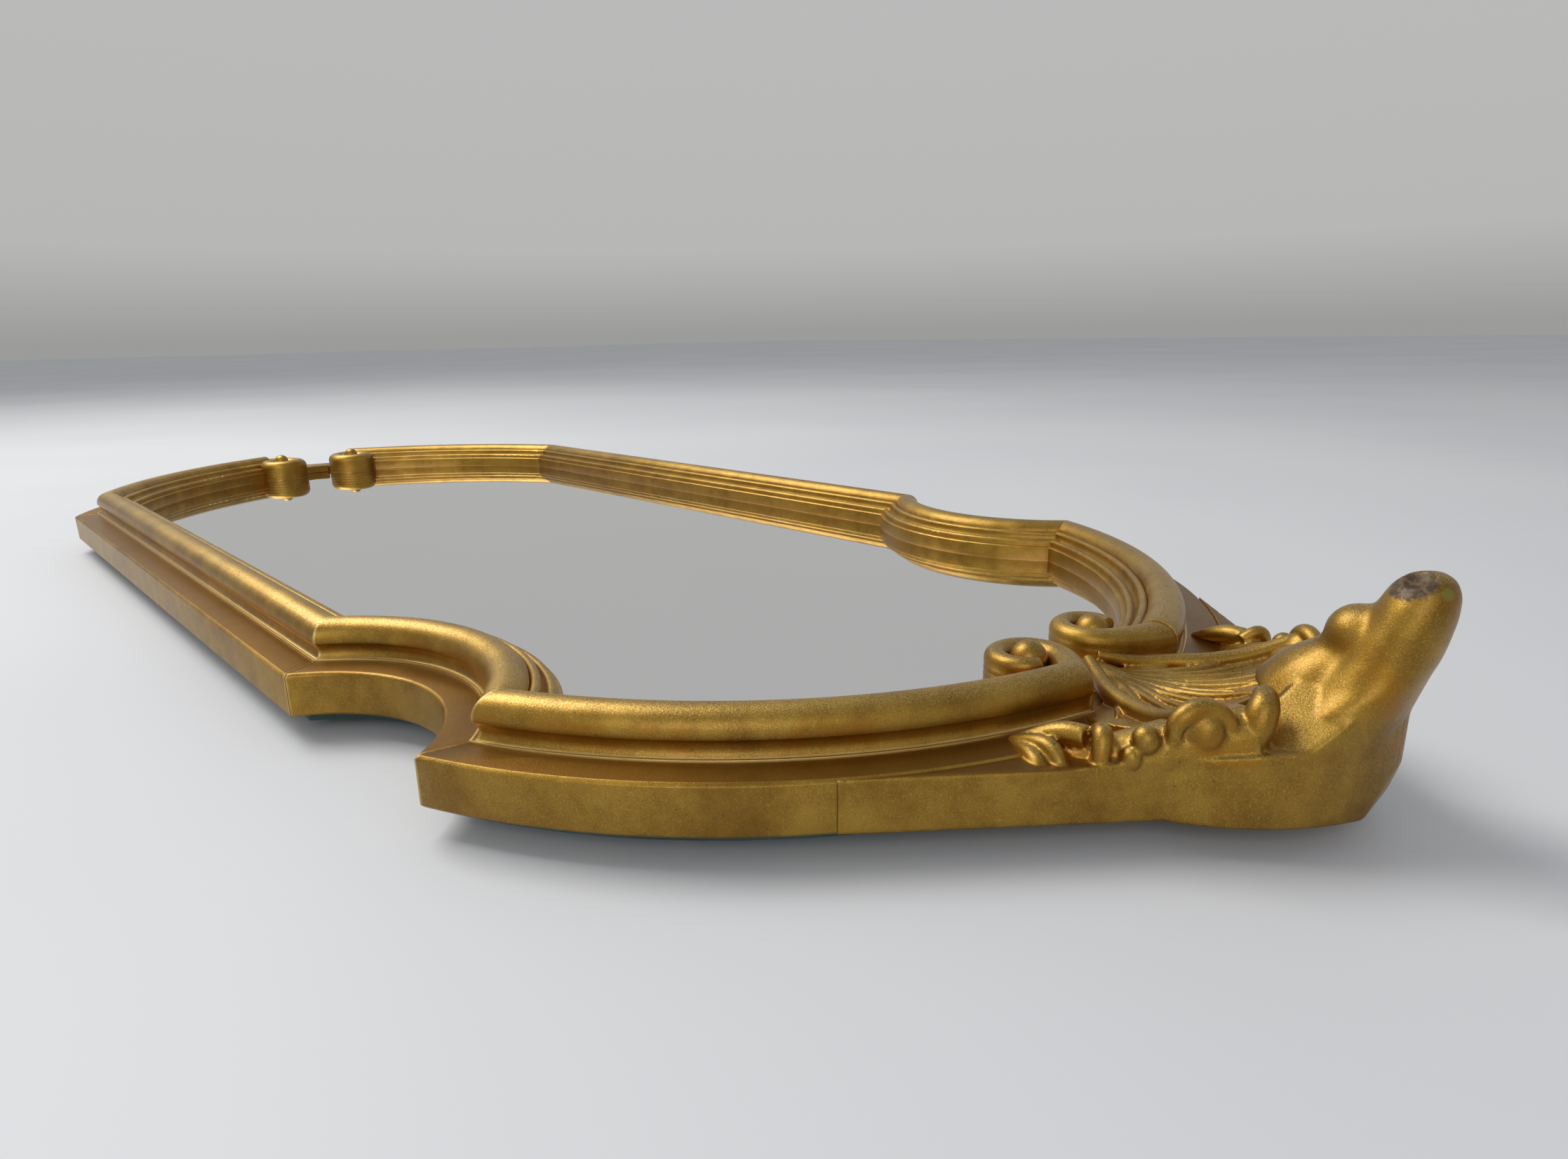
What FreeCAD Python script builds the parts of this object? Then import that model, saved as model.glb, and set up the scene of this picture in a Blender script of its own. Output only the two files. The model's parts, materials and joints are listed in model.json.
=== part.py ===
"""A gilded wall mirror with a shaped frame, lying on its back.

The frame is eight sawn rails with an applied moulding mitred on top of them.  The
mouldings curl into volutes at both ends, and a carved crest with a horn stands at the
top end.  Behind are the glass, its packing, the backboard and two swinging hanger rings.

Plan: +X right, +Y towards the bottom end of the hung mirror, the crest points to -Y.
Heights: Z = 0 is the surface that the mirror lies on, +Z is away from the wall.
"""
import FreeCAD, Part
import math
import os

V = FreeCAD.Vector
UP = V(0, 0, 1)
doc = FreeCAD.newDocument("wall_mirror")

# ---------------------------------------------------------------- driving sizes (mm)
SIZES = {
    # plan of the frame, on its outer edge
    "half_width": 132.0,         # centre line to the outer edge of a long rail
    "rail_run": 300.0,           # straight part of a long rail
    "foot_rise": 106.0,          # lower corner to the tip of the bottom end, along Y
    "foot_bow": 19.5,            # sagitta of a bottom arc
    "bite_run": 66.5,            # shoulder notch, along Y
    "bite_shift": 3.3,           # how much narrower the frame is beyond the notch
    "bite_depth": 18.4,          # sagitta of the notch
    "shoulder_rise": 94.6,       # notch to the end of the top arc, along Y
    "shoulder_end": 15.0,        # where the top arc ends, from the centre line
    "shoulder_bow": 19.2,        # sagitta of a top arc
    # rail and moulding section: insets are from the outer edge, tops from the glass face
    "rail_height": 11.3,
    "ledge_top": 2.7,
    "rebate_inset": 16.5,
    "edge_ease": 0.7,
    "foot_inset": 8.3,
    "foot_bead": 0.5,
    "ridge_inset": 14.0,
    "ridge_top": 12.5,
    "torus_radius": 4.9,
    "cove_depth": 0.9,
    "reed_one_inset": 19.6,
    "reed_one_top": 9.6,
    "reed_two_inset": 22.8,
    "reed_two_top": 7.2,
    "reed_radius": 1.1,
    "sight_inset": 25.2,
    "sight_wall": 5.0,
    # volutes
    "band_half": 3.9,
    "volute_top": 12.0,
    "foot_curl_angle": 22.5,     # heading of the moulding where a bottom volute starts
    "crest_curl_angle": 13.6,    # heading of the moulding where a top volute starts
    "bead_radius": 3.6,
    "bead_top": 12.9,
    "bridge_half": 9.0,
    "bridge_height": 4.2,
    # crest
    "crest_reach": 38.6,         # outer edge at the centre line to the rim of the crest
    "crest_half": 34.2,          # half width where the crest leaves the frame
    "crest_flare": 87.0,         # where its sides start to flare from the top arcs
    "horn_top": 38.1,
    "horn_lean": 7.2,            # how far the horn leans out past the rim
    "horn_half": 25.0,
    "fan_top": 5.4,
    "fan_rib": 1.0,
    "leaf_height": 13.5,
    "dowel_radius": 3.0,
    "dowel_length": 22.0,
    "dowel_spacing": 24.0,
    # glass and back
    "glass_thickness": 4.0,
    "glass_clearance": 1.0,
    "board_thickness": 3.0,
    "board_inset": 5.0,
    "pad_radius": 6.0,
    "pad_height": 3.2,
    "screw_radius": 1.5,
    "screw_head_radius": 3.0,
    "screw_head_depth": 1.6,
    "screw_length": 10.0,
    # hangers
    "hanger_side": 70.0,
    "hanger_setback": 96.0,      # hinge line, from the outer edge at the crest
    "strap_length": 24.0,
    "strap_width": 11.0,
    "strap_thickness": 0.8,
    "ring_wire_radius": 0.8,
    "ring_radius": 8.0,
    "ring_clearance": 0.06,
    "knuckle_wall": 0.5,
    "strap_screw_radius": 1.1,
    "strap_screw_head": 2.4,
    "strap_screw_rise": 1.1,
}

sheet = doc.addObject("Spreadsheet::Sheet", "Sizes")
for row, (alias, value) in enumerate(SIZES.items(), start=1):
    sheet.set("A%d" % row, alias)
    sheet.set("B%d" % row, str(value))
    sheet.setAlias("B%d" % row, alias)
doc.recompute()


def size(alias):
    return float(sheet.get(alias))


# ---------------------------------------------------------------- levels
BOARD_BOTTOM = size("pad_height")
RAIL_BOTTOM = BOARD_BOTTOM + size("board_thickness")
LEDGE = RAIL_BOTTOM + size("rail_height")
GLASS_FACE = LEDGE - size("ledge_top")
SKY = GLASS_FACE + size("horn_top") + 30.0      # above everything

# Expressions for the same levels, so that features follow the sheet.
BOARD_TOP_AT = "Sizes.pad_height + Sizes.board_thickness"
GLASS_AT = BOARD_TOP_AT + " + Sizes.rail_height - Sizes.ledge_top"


# ---------------------------------------------------------------- plan of the outer edge
class Straight:
    """A long rail's edge, parallel to Y; an inset moves it towards the centre line."""

    def __init__(self, x):
        self.x = x

    def at(self, inset):
        return self.x - inset

    def between(self, first, last, inset):
        return (first + last) * 0.5


class Bow:
    """An arc of the outline; side is +1 with its centre in the mirror, -1 outside it."""

    def __init__(self, first, last, sagitta, side, bulge):
        chord = last - first
        across = V(chord.y, -chord.x, 0).normalize() * bulge
        half = chord.Length / 2
        self.side = side
        self.radius = (half ** 2 + sagitta ** 2) / (2 * sagitta)
        self.centre = (first + last) * 0.5 + across * (sagitta - self.radius)

    def at(self, inset):
        return self.radius - self.side * inset

    def between(self, first, last, inset):
        middle = ((first + last) * 0.5 - self.centre).normalize()
        return self.centre + middle * self.at(inset)


def on_bow_at_x(bow, x, inset, near):
    """The point of an arc, moved in by inset, at a given X."""
    rise = math.sqrt(bow.at(inset) ** 2 - (x - bow.centre.x) ** 2)
    both = (V(x, bow.centre.y + rise, 0), V(x, bow.centre.y - rise, 0))
    return min(both, key=lambda point: (point - near).Length)


def bows_meet(first, second, inset, near):
    """Where two arcs, both moved in by inset, cross."""
    line = second.centre - first.centre
    gap = line.Length
    along = (gap ** 2 + first.at(inset) ** 2 - second.at(inset) ** 2) / (2 * gap)
    up = math.sqrt(first.at(inset) ** 2 - along ** 2)
    line.normalize()
    foot = first.centre + line * along
    side = V(-line.y, line.x, 0) * up
    return min((foot + side, foot - side), key=lambda point: (point - near).Length)


def frame_plan(far):
    """The corners of the right half and its four edges, from the far tip to the crest."""
    tip = V(0, far, 0)
    corner = V(size("half_width"), far - size("foot_rise"), 0)
    bite_far = corner - V(0, size("rail_run"), 0)
    bite_near = bite_far - V(size("bite_shift"), size("bite_run"), 0)
    end = V(size("shoulder_end"), bite_near.y - size("shoulder_rise"), 0)
    foot = Bow(corner, tip, size("foot_bow"), 1, 1)
    rail = Straight(size("half_width"))
    bite = Bow(bite_near, bite_far, size("bite_depth"), -1, -1)
    shoulder = Bow(end, bite_near, size("shoulder_bow"), 1, 1)
    return (tip, corner, bite_far, bite_near, end), (foot, rail, bite, shoulder)


def crest_root(plan):
    """The point of the top arcs' outer edge on the centre line."""
    corners, edges = plan
    return on_bow_at_x(edges[3], 0, 0, corners[4])


def length_overall():
    plan = frame_plan(0.0)
    return size("crest_reach") + size("horn_lean") - crest_root(plan).y


CORNERS, EDGES = frame_plan(length_overall() / 2)
FOOT, RAIL, BITE, SHOULDER = EDGES
CREST_ROOT = crest_root((CORNERS, EDGES))


def joints(inset):
    """The five mitre points of the right half on the outline moved in by inset."""
    tip, corner, bite_far, bite_near, end = CORNERS
    return (
        on_bow_at_x(FOOT, 0, inset, tip),
        on_bow_at_x(FOOT, RAIL.at(inset), inset, corner),
        on_bow_at_x(BITE, RAIL.at(inset), inset, bite_far),
        bows_meet(BITE, SHOULDER, inset, bite_near),
        on_bow_at_x(SHOULDER, 0, inset, end),
    )


def mirrored(point):
    return V(-point.x, point.y, point.z)


def edge_curve(edge, first, last, inset):
    """One edge between two of its points, moved in by inset."""
    if isinstance(edge, Straight):
        return Part.LineSegment(first, last)
    return Part.Arc(first, edge.between(first, last, inset), last)


def closed_outline(inset):
    """The whole outline of the frame moved in by inset, both halves."""
    curves = []
    points = joints(inset)
    for edge, first, last in zip(EDGES, points, points[1:]):
        middle = edge.between(first, last, inset)
        if isinstance(edge, Straight):
            curves.append(Part.LineSegment(first, last))
            curves.append(Part.LineSegment(mirrored(first), mirrored(last)))
        else:
            curves.append(Part.Arc(first, middle, last))
            curves.append(Part.Arc(mirrored(first), mirrored(middle), mirrored(last)))
    return curves


# ---------------------------------------------------------------- document helpers
def label(thing, name):
    thing.Label = name
    return thing


def plane_of(body, role):
    return [one for one in body.Origin.OriginFeatures if one.Role == role][0]


def sketch_in(body, name, role, curves):
    sketch = body.newObject("Sketcher::SketchObject", name + "_sketch")
    sketch.AttachmentSupport = (plane_of(body, role), [""])
    sketch.MapMode = "FlatFace"
    for curve in curves:
        sketch.addGeometry(curve, False)
    return sketch


def padded_body(name, curves, height, level):
    """A board sawn to an outline: height and level are expressions."""
    body = doc.addObject("PartDesign::Body", name + "_body")
    sketch = sketch_in(body, name, "XY_Plane", curves)
    pad = body.newObject("PartDesign::Pad", name + "_pad")
    pad.Profile = sketch
    pad.setExpression("Length", height)
    body.setExpression("Placement.Base.z", level)
    doc.recompute()
    return body


def polygon(points):
    return [Part.LineSegment(a, b) for a, b in zip(points, points[1:] + points[:1])]


def cut(name, base, tools):
    """base less every tool, as one Part::Cut."""
    tool = tools[0]
    if len(tools) > 1:
        tool = doc.addObject("Part::MultiFuse", name + "_tools")
        tool.Shapes = tools
    result = doc.addObject("Part::Cut", name)
    result.Base = base
    result.Tool = tool
    return result


def fused(name, pieces):
    result = doc.addObject("Part::MultiFuse", name)
    result.Shapes = pieces
    return result


def grouped(name, pieces):
    """Separate solids that share one node."""
    result = doc.addObject("Part::Compound", name)
    result.Links = pieces
    return result


def mirror_copy(name, source):
    copy = doc.addObject("Part::Mirroring", name)
    copy.Source = source
    copy.Normal = V(1, 0, 0)
    copy.Base = V(0, 0, 0)
    return copy


def shaped(name, shape):
    feature = doc.addObject("Part::Feature", name)
    feature.Shape = shape
    return feature


def cylinder(name, radius, height, place):
    """An upright cylinder whose radius and height are expressions."""
    rod = doc.addObject("Part::Cylinder", name)
    rod.setExpression("Radius", radius)
    rod.setExpression("Height", height)
    rod.Placement = place
    return rod


def at(x, y, z, axis=UP, angle=0.0):
    return FreeCAD.Placement(V(x, y, z), FreeCAD.Rotation(axis, angle))


# ---------------------------------------------------------------- rails
NAMES = ("far", "long", "notch", "near")


def rail_body(index):
    """One sawn rail: outer edge, mitre, rebate edge, mitre."""
    inset = size("rebate_inset")
    edge = EDGES[index]
    outer = joints(0)[index:index + 2]
    inner = joints(inset)[index:index + 2]
    curves = [
        edge_curve(edge, outer[0], outer[1], 0),
        Part.LineSegment(outer[1], inner[1]),
        edge_curve(edge, inner[1], inner[0], inset),
        Part.LineSegment(inner[0], outer[0]),
    ]
    name = "rail_" + NAMES[index]
    body = padded_body(name, curves, "Sizes.rail_height", BOARD_TOP_AT)
    pad = body.Tip
    edges = outer_edges(pad, edge.between(outer[0], outer[1], 0))
    chamfer = body.newObject("PartDesign::Chamfer", name + "_ease")
    chamfer.Base = (pad, edges)
    chamfer.setExpression("Size", "Sizes.edge_ease")
    body.Tip = chamfer
    doc.recompute()
    return body


def outer_edges(pad, middle):
    """The names of the two long edges of the outer face, top and bottom."""
    names = []
    for number, edge in enumerate(pad.Shape.Edges, start=1):
        point = edge.valueAt((edge.FirstParameter + edge.LastParameter) / 2)
        if math.hypot(point.x - middle.x, point.y - middle.y) < 0.01:
            names.append("Edge%d" % number)
    assert len(names) == 2, "two outer edges expected, found %d" % len(names)
    return names


# ---------------------------------------------------------------- moulding
def arch(inset, top, half, drop):
    """A small round: its two feet and its top, in (inset, height)."""
    return ((inset - half, top - drop), (inset, top), (inset + half, top - drop))


def moulding_section():
    """The moulding's section as arcs and lines in (inset, height above the glass)."""
    ledge = size("ledge_top")
    foot = size("foot_inset")
    bead = size("foot_bead")
    ridge = size("ridge_inset")
    radius = size("torus_radius")
    axis = size("ridge_top") - radius
    reed = size("reed_radius")
    out_turn = math.radians(188)
    in_turn = math.radians(28)
    torus_out = (ridge + radius * math.cos(out_turn), axis + radius * math.sin(out_turn))
    torus_in = (ridge + radius * math.cos(in_turn), axis + radius * math.sin(in_turn))
    bead_end = (foot + 2 * bead, ledge + 0.2 * bead)
    cove = (max(torus_out[0], bead_end[0]) + size("cove_depth"),
            (torus_out[1] + bead_end[1]) / 2)
    one = arch(size("reed_one_inset"), size("reed_one_top"), reed, 0.8 * reed)
    two = arch(size("reed_two_inset"), size("reed_two_top"), reed, 0.8 * reed)
    hollow = (0.6 * one[2][0] + 0.4 * two[0][0], 0.3 * one[2][1] + 0.7 * two[0][1])
    sight = size("sight_inset")
    wall = size("sight_wall")
    ease = 0.3
    rebate = size("rebate_inset")
    return [
        ((foot, ledge), (foot + 0.2 * bead, ledge + bead)),
        ((foot + 0.2 * bead, ledge + bead), (foot + 1.2 * bead, ledge + bead)),
        ((foot + 1.2 * bead, ledge + bead), bead_end),
        (bead_end, cove, torus_out),
        (torus_out, (ridge, size("ridge_top")), torus_in),
        (torus_in, one[0]),
        one,
        (one[2], hollow, two[0]),
        two,
        (two[2], (two[2][0], wall)),
        ((two[2][0], wall), (sight - ease, wall)),
        ((sight - ease, wall), (sight, wall - ease)),
        ((sight, wall - ease), (sight, 0.0)),
        ((sight, 0.0), (rebate, 0.0)),
        ((rebate, 0.0), (rebate, ledge)),
        ((rebate, ledge), (foot, ledge)),
    ]


def section_curves(place):
    """The section drawn in a plane: place maps (inset, height) to a point."""
    curves = []
    for run in moulding_section():
        points = [place(*point) for point in run]
        if len(points) == 3:
            curves.append(Part.Arc(*points))
        else:
            curves.append(Part.LineSegment(*points))
    return curves


def turned_moulding(name, bow):
    """A full ring with the moulding's section; a bow is sawn from it."""
    body = doc.addObject("PartDesign::Body", name + "_ring")
    curves = section_curves(lambda inset, top: V(bow.at(inset), top, 0))
    sketch = sketch_in(body, name, "XZ_Plane", curves)
    ring = body.newObject("PartDesign::Revolution", name + "_turning")
    ring.Profile = sketch
    ring.ReferenceAxis = (sketch, ["V_Axis"])
    ring.Angle = 360
    body.Placement = at(bow.centre.x, bow.centre.y, 0)
    body.setExpression("Placement.Base.z", GLASS_AT)
    doc.recompute()
    return body


def planed_moulding(name):
    """A straight length with the moulding's section along Y, longer than it is needed."""
    body = doc.addObject("PartDesign::Body", name + "_stick")
    curves = section_curves(lambda inset, top: V(RAIL.at(inset), top, 0))
    sketch = sketch_in(body, name, "XZ_Plane", curves)
    pad = body.newObject("PartDesign::Pad", name + "_planing")
    pad.Profile = sketch
    pad.setExpression("Length", "Sizes.rail_run + 4 * Sizes.sight_inset")
    doc.recompute()
    middle = (CORNERS[1].y + CORNERS[2].y) / 2
    body.Placement = at(0, middle - body.Shape.BoundBox.Center.y, 0)
    body.setExpression("Placement.Base.z", GLASS_AT)
    doc.recompute()
    return body


STEPS = 9                      # facets of a curved mitre
OVERCUT = 2.0                  # the saw sector stands this far past the section


def spread(first, last):
    return [first + (last - first) * step / STEPS for step in range(STEPS + 1)]


def along(edge, first, last, inset):
    """Points of an edge from one point to another, moved in by inset."""
    if isinstance(edge, Straight):
        return [first, last]
    start = math.atan2(first.y - edge.centre.y, first.x - edge.centre.x)
    stop = math.atan2(last.y - edge.centre.y, last.x - edge.centre.x)
    turn = (stop - start + math.pi) % (2 * math.pi) - math.pi
    radius = edge.at(inset)
    angles = [start + turn * step / (2 * STEPS) for step in range(2 * STEPS + 1)]
    return [edge.centre + V(radius * math.cos(a), radius * math.sin(a), 0) for a in angles]


def saw_sector(name, index, start_line=None, stop_line=None):
    """An upright block that a length is sawn to: mitre curves at its ends.

    A mitre is the line of points with the same inset on both edges.  start_line and
    stop_line replace a mitre with a straight cut between two given points.
    """
    insets = spread(-OVERCUT, size("sight_inset") + OVERCUT)
    first = start_line or [joints(inset)[index] for inset in insets]
    last = stop_line or [joints(inset)[index + 1] for inset in insets]
    edge = EDGES[index]
    outer = along(edge, first[0], last[0], insets[0])
    inner = along(edge, last[-1], first[-1], insets[-1])
    loop = outer[:-1] + last[:-1] + inner[:-1] + first[::-1][:-1]
    loop = [V(point.x, point.y, 0) for point in loop]
    face = Part.Face(Part.makePolygon(loop + [loop[0]]))
    return shaped(name + "_sector", face.extrude(V(0, 0, SKY)))


def square_cut(bow, heading, up):
    """A cut across a bow where its outward normal is at heading from the Y axis."""
    normal = V(math.sin(math.radians(heading)), up * math.cos(math.radians(heading)), 0)
    insets = (-OVERCUT, size("sight_inset") + OVERCUT)
    return [bow.centre + normal * bow.at(inset) for inset in insets]


def sawn(name, stick, sector):
    piece = doc.addObject("Part::Common", name)
    piece.Base = stick
    piece.Tool = sector
    doc.recompute()
    return piece


def mouldings():
    """The four right-hand lengths of moulding, by name, sawn to their mitres."""
    foot_cut = square_cut(FOOT, size("foot_curl_angle"), 1)
    crest_cut = square_cut(SHOULDER, size("crest_curl_angle"), -1)
    sticks = (
        turned_moulding("moulding_far", FOOT),
        planed_moulding("moulding_long"),
        turned_moulding("moulding_notch", BITE),
        turned_moulding("moulding_near", SHOULDER),
    )
    sectors = (
        saw_sector("moulding_far", 0, start_line=foot_cut),
        saw_sector("moulding_long", 1),
        saw_sector("moulding_notch", 2),
        saw_sector("moulding_near", 3, stop_line=crest_cut),
    )
    lengths = {}
    for name, stick, sector in zip(NAMES, sticks, sectors):
        lengths[name] = sawn("moulding_%s_sawn" % name, stick, sector)
    return lengths


# ---------------------------------------------------------------- volutes
FOOT_CURL = (10.8, 8.2, 6.4, 5.2)         # ridge radii of a bottom volute, turn by turn
CREST_CURL = (10.6, 8.4, 6.6, 5.3)        # the same of a top volute


def band_section(radius):
    """The upright band with a round top, as a face in the XZ plane."""
    half = size("band_half")
    shoulder = size("volute_top") - half
    inner = V(radius - half, 0, 0)
    outer = V(radius + half, 0, 0)
    rise = V(0, 0, shoulder)
    edges = [
        Part.LineSegment(inner, outer).toShape(),
        Part.LineSegment(outer, outer + rise).toShape(),
        Part.Arc(outer + rise, V(radius, 0, size("volute_top")), inner + rise).toShape(),
        Part.LineSegment(inner + rise, inner).toShape(),
    ]
    return Part.Face(Part.Wire(edges))


def curl(bow, heading, up, radii):
    """A spiral band that leaves the moulding's ridge and winds in; returns (shape, eye).

    Each turn is an arc that is tangent to the one before it and has a smaller radius.
    """
    normal = V(math.sin(math.radians(heading)), up * math.cos(math.radians(heading)), 0)
    centre = bow.centre + normal * (bow.at(size("ridge_inset")) - radii[0])
    angle = math.degrees(math.atan2(normal.y, normal.x))
    sweep = (90 + heading) * up
    shape = None
    for radius, following in zip(radii, radii[1:] + (None,)):
        band = band_section(radius)
        band.rotate(V(), UP, min(angle, angle + sweep))
        piece = band.revolve(V(), UP, abs(sweep))
        piece.translate(centre)
        shape = piece if shape is None else shape.fuse(piece)
        angle += sweep
        sweep = 90 * up
        if following:
            point = V(math.cos(math.radians(angle)), math.sin(math.radians(angle)), 0)
            centre = centre + point * (radius - following)
    shape = shape.removeSplitter()
    shape.translate(V(0, 0, GLASS_FACE))
    return shape, centre


def bead(name, eye):
    """A round-topped pin that stands on the glass in the eye of a volute."""
    height = "Sizes.bead_top - Sizes.bead_radius"
    place = at(eye.x, eye.y, GLASS_FACE)
    pin = cylinder(name + "_pin", "Sizes.bead_radius", height, place)
    ball = doc.addObject("Part::Sphere", name + "_ball")
    ball.setExpression("Radius", "Sizes.bead_radius")
    ball.Placement = at(eye.x, eye.y, GLASS_FACE + size("bead_top") - size("bead_radius"))
    return fused(name, [pin, ball])


def bridge():
    """The low piece that closes the sight edge between the two bottom volutes."""
    half = size("bridge_half")
    edge = size("rebate_inset")
    back = on_bow_at_x(FOOT, half, edge, CORNERS[0])
    front = on_bow_at_x(FOOT, half, size("sight_inset"), CORNERS[0])
    top = on_bow_at_x(FOOT, 0, edge, CORNERS[0])
    low = on_bow_at_x(FOOT, 0, size("sight_inset"), CORNERS[0])
    curves = polygon([back, top, mirrored(back), mirrored(front), low, front])
    return padded_body("bridge", curves, "Sizes.bridge_height", GLASS_AT)


# ---------------------------------------------------------------- crest
def crest_base(rails):
    """The block outside the top arcs: flared sides that close in a rounded point."""
    flare = on_bow_at_x(SHOULDER, size("crest_flare"), 0, CORNERS[3])
    rim_end = V(0, CREST_ROOT.y - size("crest_reach"), 0)
    neck = V(size("crest_half"), rim_end.y + 0.76 * size("crest_reach"), 0)
    swell = (neck + rim_end) * 0.5 + V(1.0, -6.0, 0)
    curves = [
        Part.LineSegment(flare, neck),
        Part.Arc(neck, swell, rim_end),
        Part.Arc(rim_end, mirrored(swell), mirrored(neck)),
        Part.LineSegment(mirrored(neck), mirrored(flare)),
        edge_curve(SHOULDER, flare, CREST_ROOT, 0),
    ]
    left = SHOULDER.between(flare, CREST_ROOT, 0)
    curves.append(Part.Arc(mirrored(flare), mirrored(left), CREST_ROOT))
    block = padded_body("crest_block", curves, "Sizes.rail_height", BOARD_TOP_AT)
    return cut("crest_base", block, rails), neck, rim_end


HORN_LEVELS = (                # share of height, of lean, of width, of depth
    (0.00, 0.00, 1.00, 1.00),
    (0.26, 0.55, 0.78, 0.74),
    (0.52, 0.90, 0.52, 0.54),
    (0.76, 1.00, 0.36, 0.42),
    (0.92, 0.85, 0.25, 0.28),
    (1.00, 0.45, 0.07, 0.07),
)


def horn(rim_end):
    """The nose of the crest: ellipses that narrow and lean out as they rise."""
    rings = []
    rise = GLASS_FACE + size("horn_top") - LEDGE
    depth = 0.5 * size("crest_reach") - 2.0
    for number, (height, lean, width, deep) in enumerate(HORN_LEVELS):
        across = size("horn_half") * width
        half_deep = min(depth * deep, across)
        outer = rim_end.y + 1.0 - size("horn_lean") * lean - lean
        ring = doc.addObject("Part::Ellipse", "horn_ring_%d" % number)
        ring.MajorRadius = across
        ring.MinorRadius = half_deep
        ring.Placement = at(0, outer + half_deep, LEDGE + rise * height)
        rings.append(ring)
    loft = doc.addObject("Part::Loft", "crest_horn")
    loft.Sections = rings
    loft.Solid = True
    return loft


def fan_floor(neck, rim_end, neighbours):
    """The floor of the shell, from between the top volutes to the horn."""
    root = CREST_ROOT.y + size("sight_inset") + 6.0
    curves = polygon([
        V(3.0, root, 0),
        V(3.0, CREST_ROOT.y + size("ridge_inset") + 2.0, 0),
        V(neck.x - 9.0, CREST_ROOT.y + 4.0, 0),
        V(neck.x - 6.0, neck.y, 0),
        V(12.0, rim_end.y + 10.0, 0),
        V(-12.0, rim_end.y + 10.0, 0),
        V(6.0 - neck.x, neck.y, 0),
        V(9.0 - neck.x, CREST_ROOT.y + 4.0, 0),
        V(-3.0, CREST_ROOT.y + size("ridge_inset") + 2.0, 0),
        V(-3.0, root, 0),
    ])
    slab = padded_body("fan_slab", curves, "Sizes.fan_top", GLASS_AT)
    return cut("crest_fan", slab, neighbours)


def fan_ribs(neck, neighbours):
    """Fine half-round ribs that fan out over the floor of the shell."""
    rods = []
    root = V(0, CREST_ROOT.y + size("ridge_inset") - 3.0, 0)
    count = 7
    for number in range(count):
        lean = (number - (count - 1) / 2) * 10.0
        start = root + V(1.1 * (number - (count - 1) / 2), 0, 0)
        rod = doc.addObject("Part::Cylinder", "rib_%d" % number)
        rod.setExpression("Radius", "Sizes.fan_rib")
        rod.Height = 13.0
        turn = FreeCAD.Rotation(UP, lean).multiply(FreeCAD.Rotation(V(1, 0, 0), 90))
        place = V(start.x, start.y, GLASS_FACE + size("fan_top"))
        rod.Placement = FreeCAD.Placement(place, turn)
        rods.append(rod)
    return cut("crest_ribs", fused("ribs_rough", rods), neighbours)


LEAF_LOBES = (                 # share of the way along the rim, height share, size
    (0.05, 0.20, 5.5),
    (0.32, 0.48, 5.2),
    (0.56, 0.66, 5.0),
    (0.80, 0.90, 5.6),
)


def leaf(neck, rim_end, neighbours):
    """The ruffled leaf on the right rim: lobes that climb towards the horn."""
    lobes = []
    first = V(neck.x + 2.0, neck.y + 14.0, 0)
    last = V(neck.x - 12.0, rim_end.y + 13.0, 0)
    for number, (share, climb, radius) in enumerate(LEAF_LOBES):
        lobe = doc.addObject("Part::Ellipsoid", "lobe_%d" % number)
        lobe.Radius1 = size("leaf_height") * climb
        lobe.Radius2 = radius
        lobe.Radius3 = radius * 0.9
        lobe.Angle1 = 0
        spot = first + (last - first) * share
        lobe.Placement = at(spot.x - 3.5, spot.y, LEDGE)
        lobes.append(lobe)
    return cut("crest_leaf_right", fused("leaf_rough", lobes), neighbours)


def dowels():
    """Two pins that hold the crest block to the top rails."""
    pins = []
    for side in (-1, 1):
        x = side * size("dowel_spacing") / 2
        joint = on_bow_at_x(SHOULDER, abs(x), 0, CORNERS[4])
        turn = FreeCAD.Rotation(V(1, 0, 0), -90)
        spot = V(x, joint.y - size("dowel_length") / 2, RAIL_BOTTOM + size("rail_height") / 2)
        pin = cylinder("dowel_%d" % (side + 1), "Sizes.dowel_radius", "Sizes.dowel_length",
                       FreeCAD.Placement(spot, turn))
        pins.append(pin)
    return grouped("crest_dowels", pins)


# ---------------------------------------------------------------- glass, packing, board
def glass():
    inset = size("rebate_inset") + size("glass_clearance")
    return padded_body("glass", closed_outline(inset), "Sizes.glass_thickness",
                       GLASS_AT + " - Sizes.glass_thickness")


def packing():
    """Corrugated card that fills the rebate between the glass and the backboard."""
    inset = size("rebate_inset") + size("glass_clearance")
    depth = "Sizes.rail_height - Sizes.ledge_top - Sizes.glass_thickness"
    return padded_body("packing", closed_outline(inset), depth, BOARD_TOP_AT)


def backboard():
    return padded_body("board", closed_outline(size("board_inset")),
                       "Sizes.board_thickness", "Sizes.pad_height")


def screw_spots():
    """Where the backboard is screwed to the rails: on the middle of the rails' backs."""
    inset = (size("board_inset") + size("rebate_inset")) / 2
    points = joints(inset)
    spots = []
    for index, shares in ((0, (0.5,)), (1, (0.12, 0.5, 0.88)), (3, (0.3, 0.7))):
        edge, first, last = EDGES[index], points[index], points[index + 1]
        path = along(edge, first, last, inset)
        for share in shares:
            if len(path) == 2:
                spots.append(first + (last - first) * share)
            else:
                spots.append(path[round(share * (len(path) - 1))])
    return spots + [mirrored(spot) for spot in spots]


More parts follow.
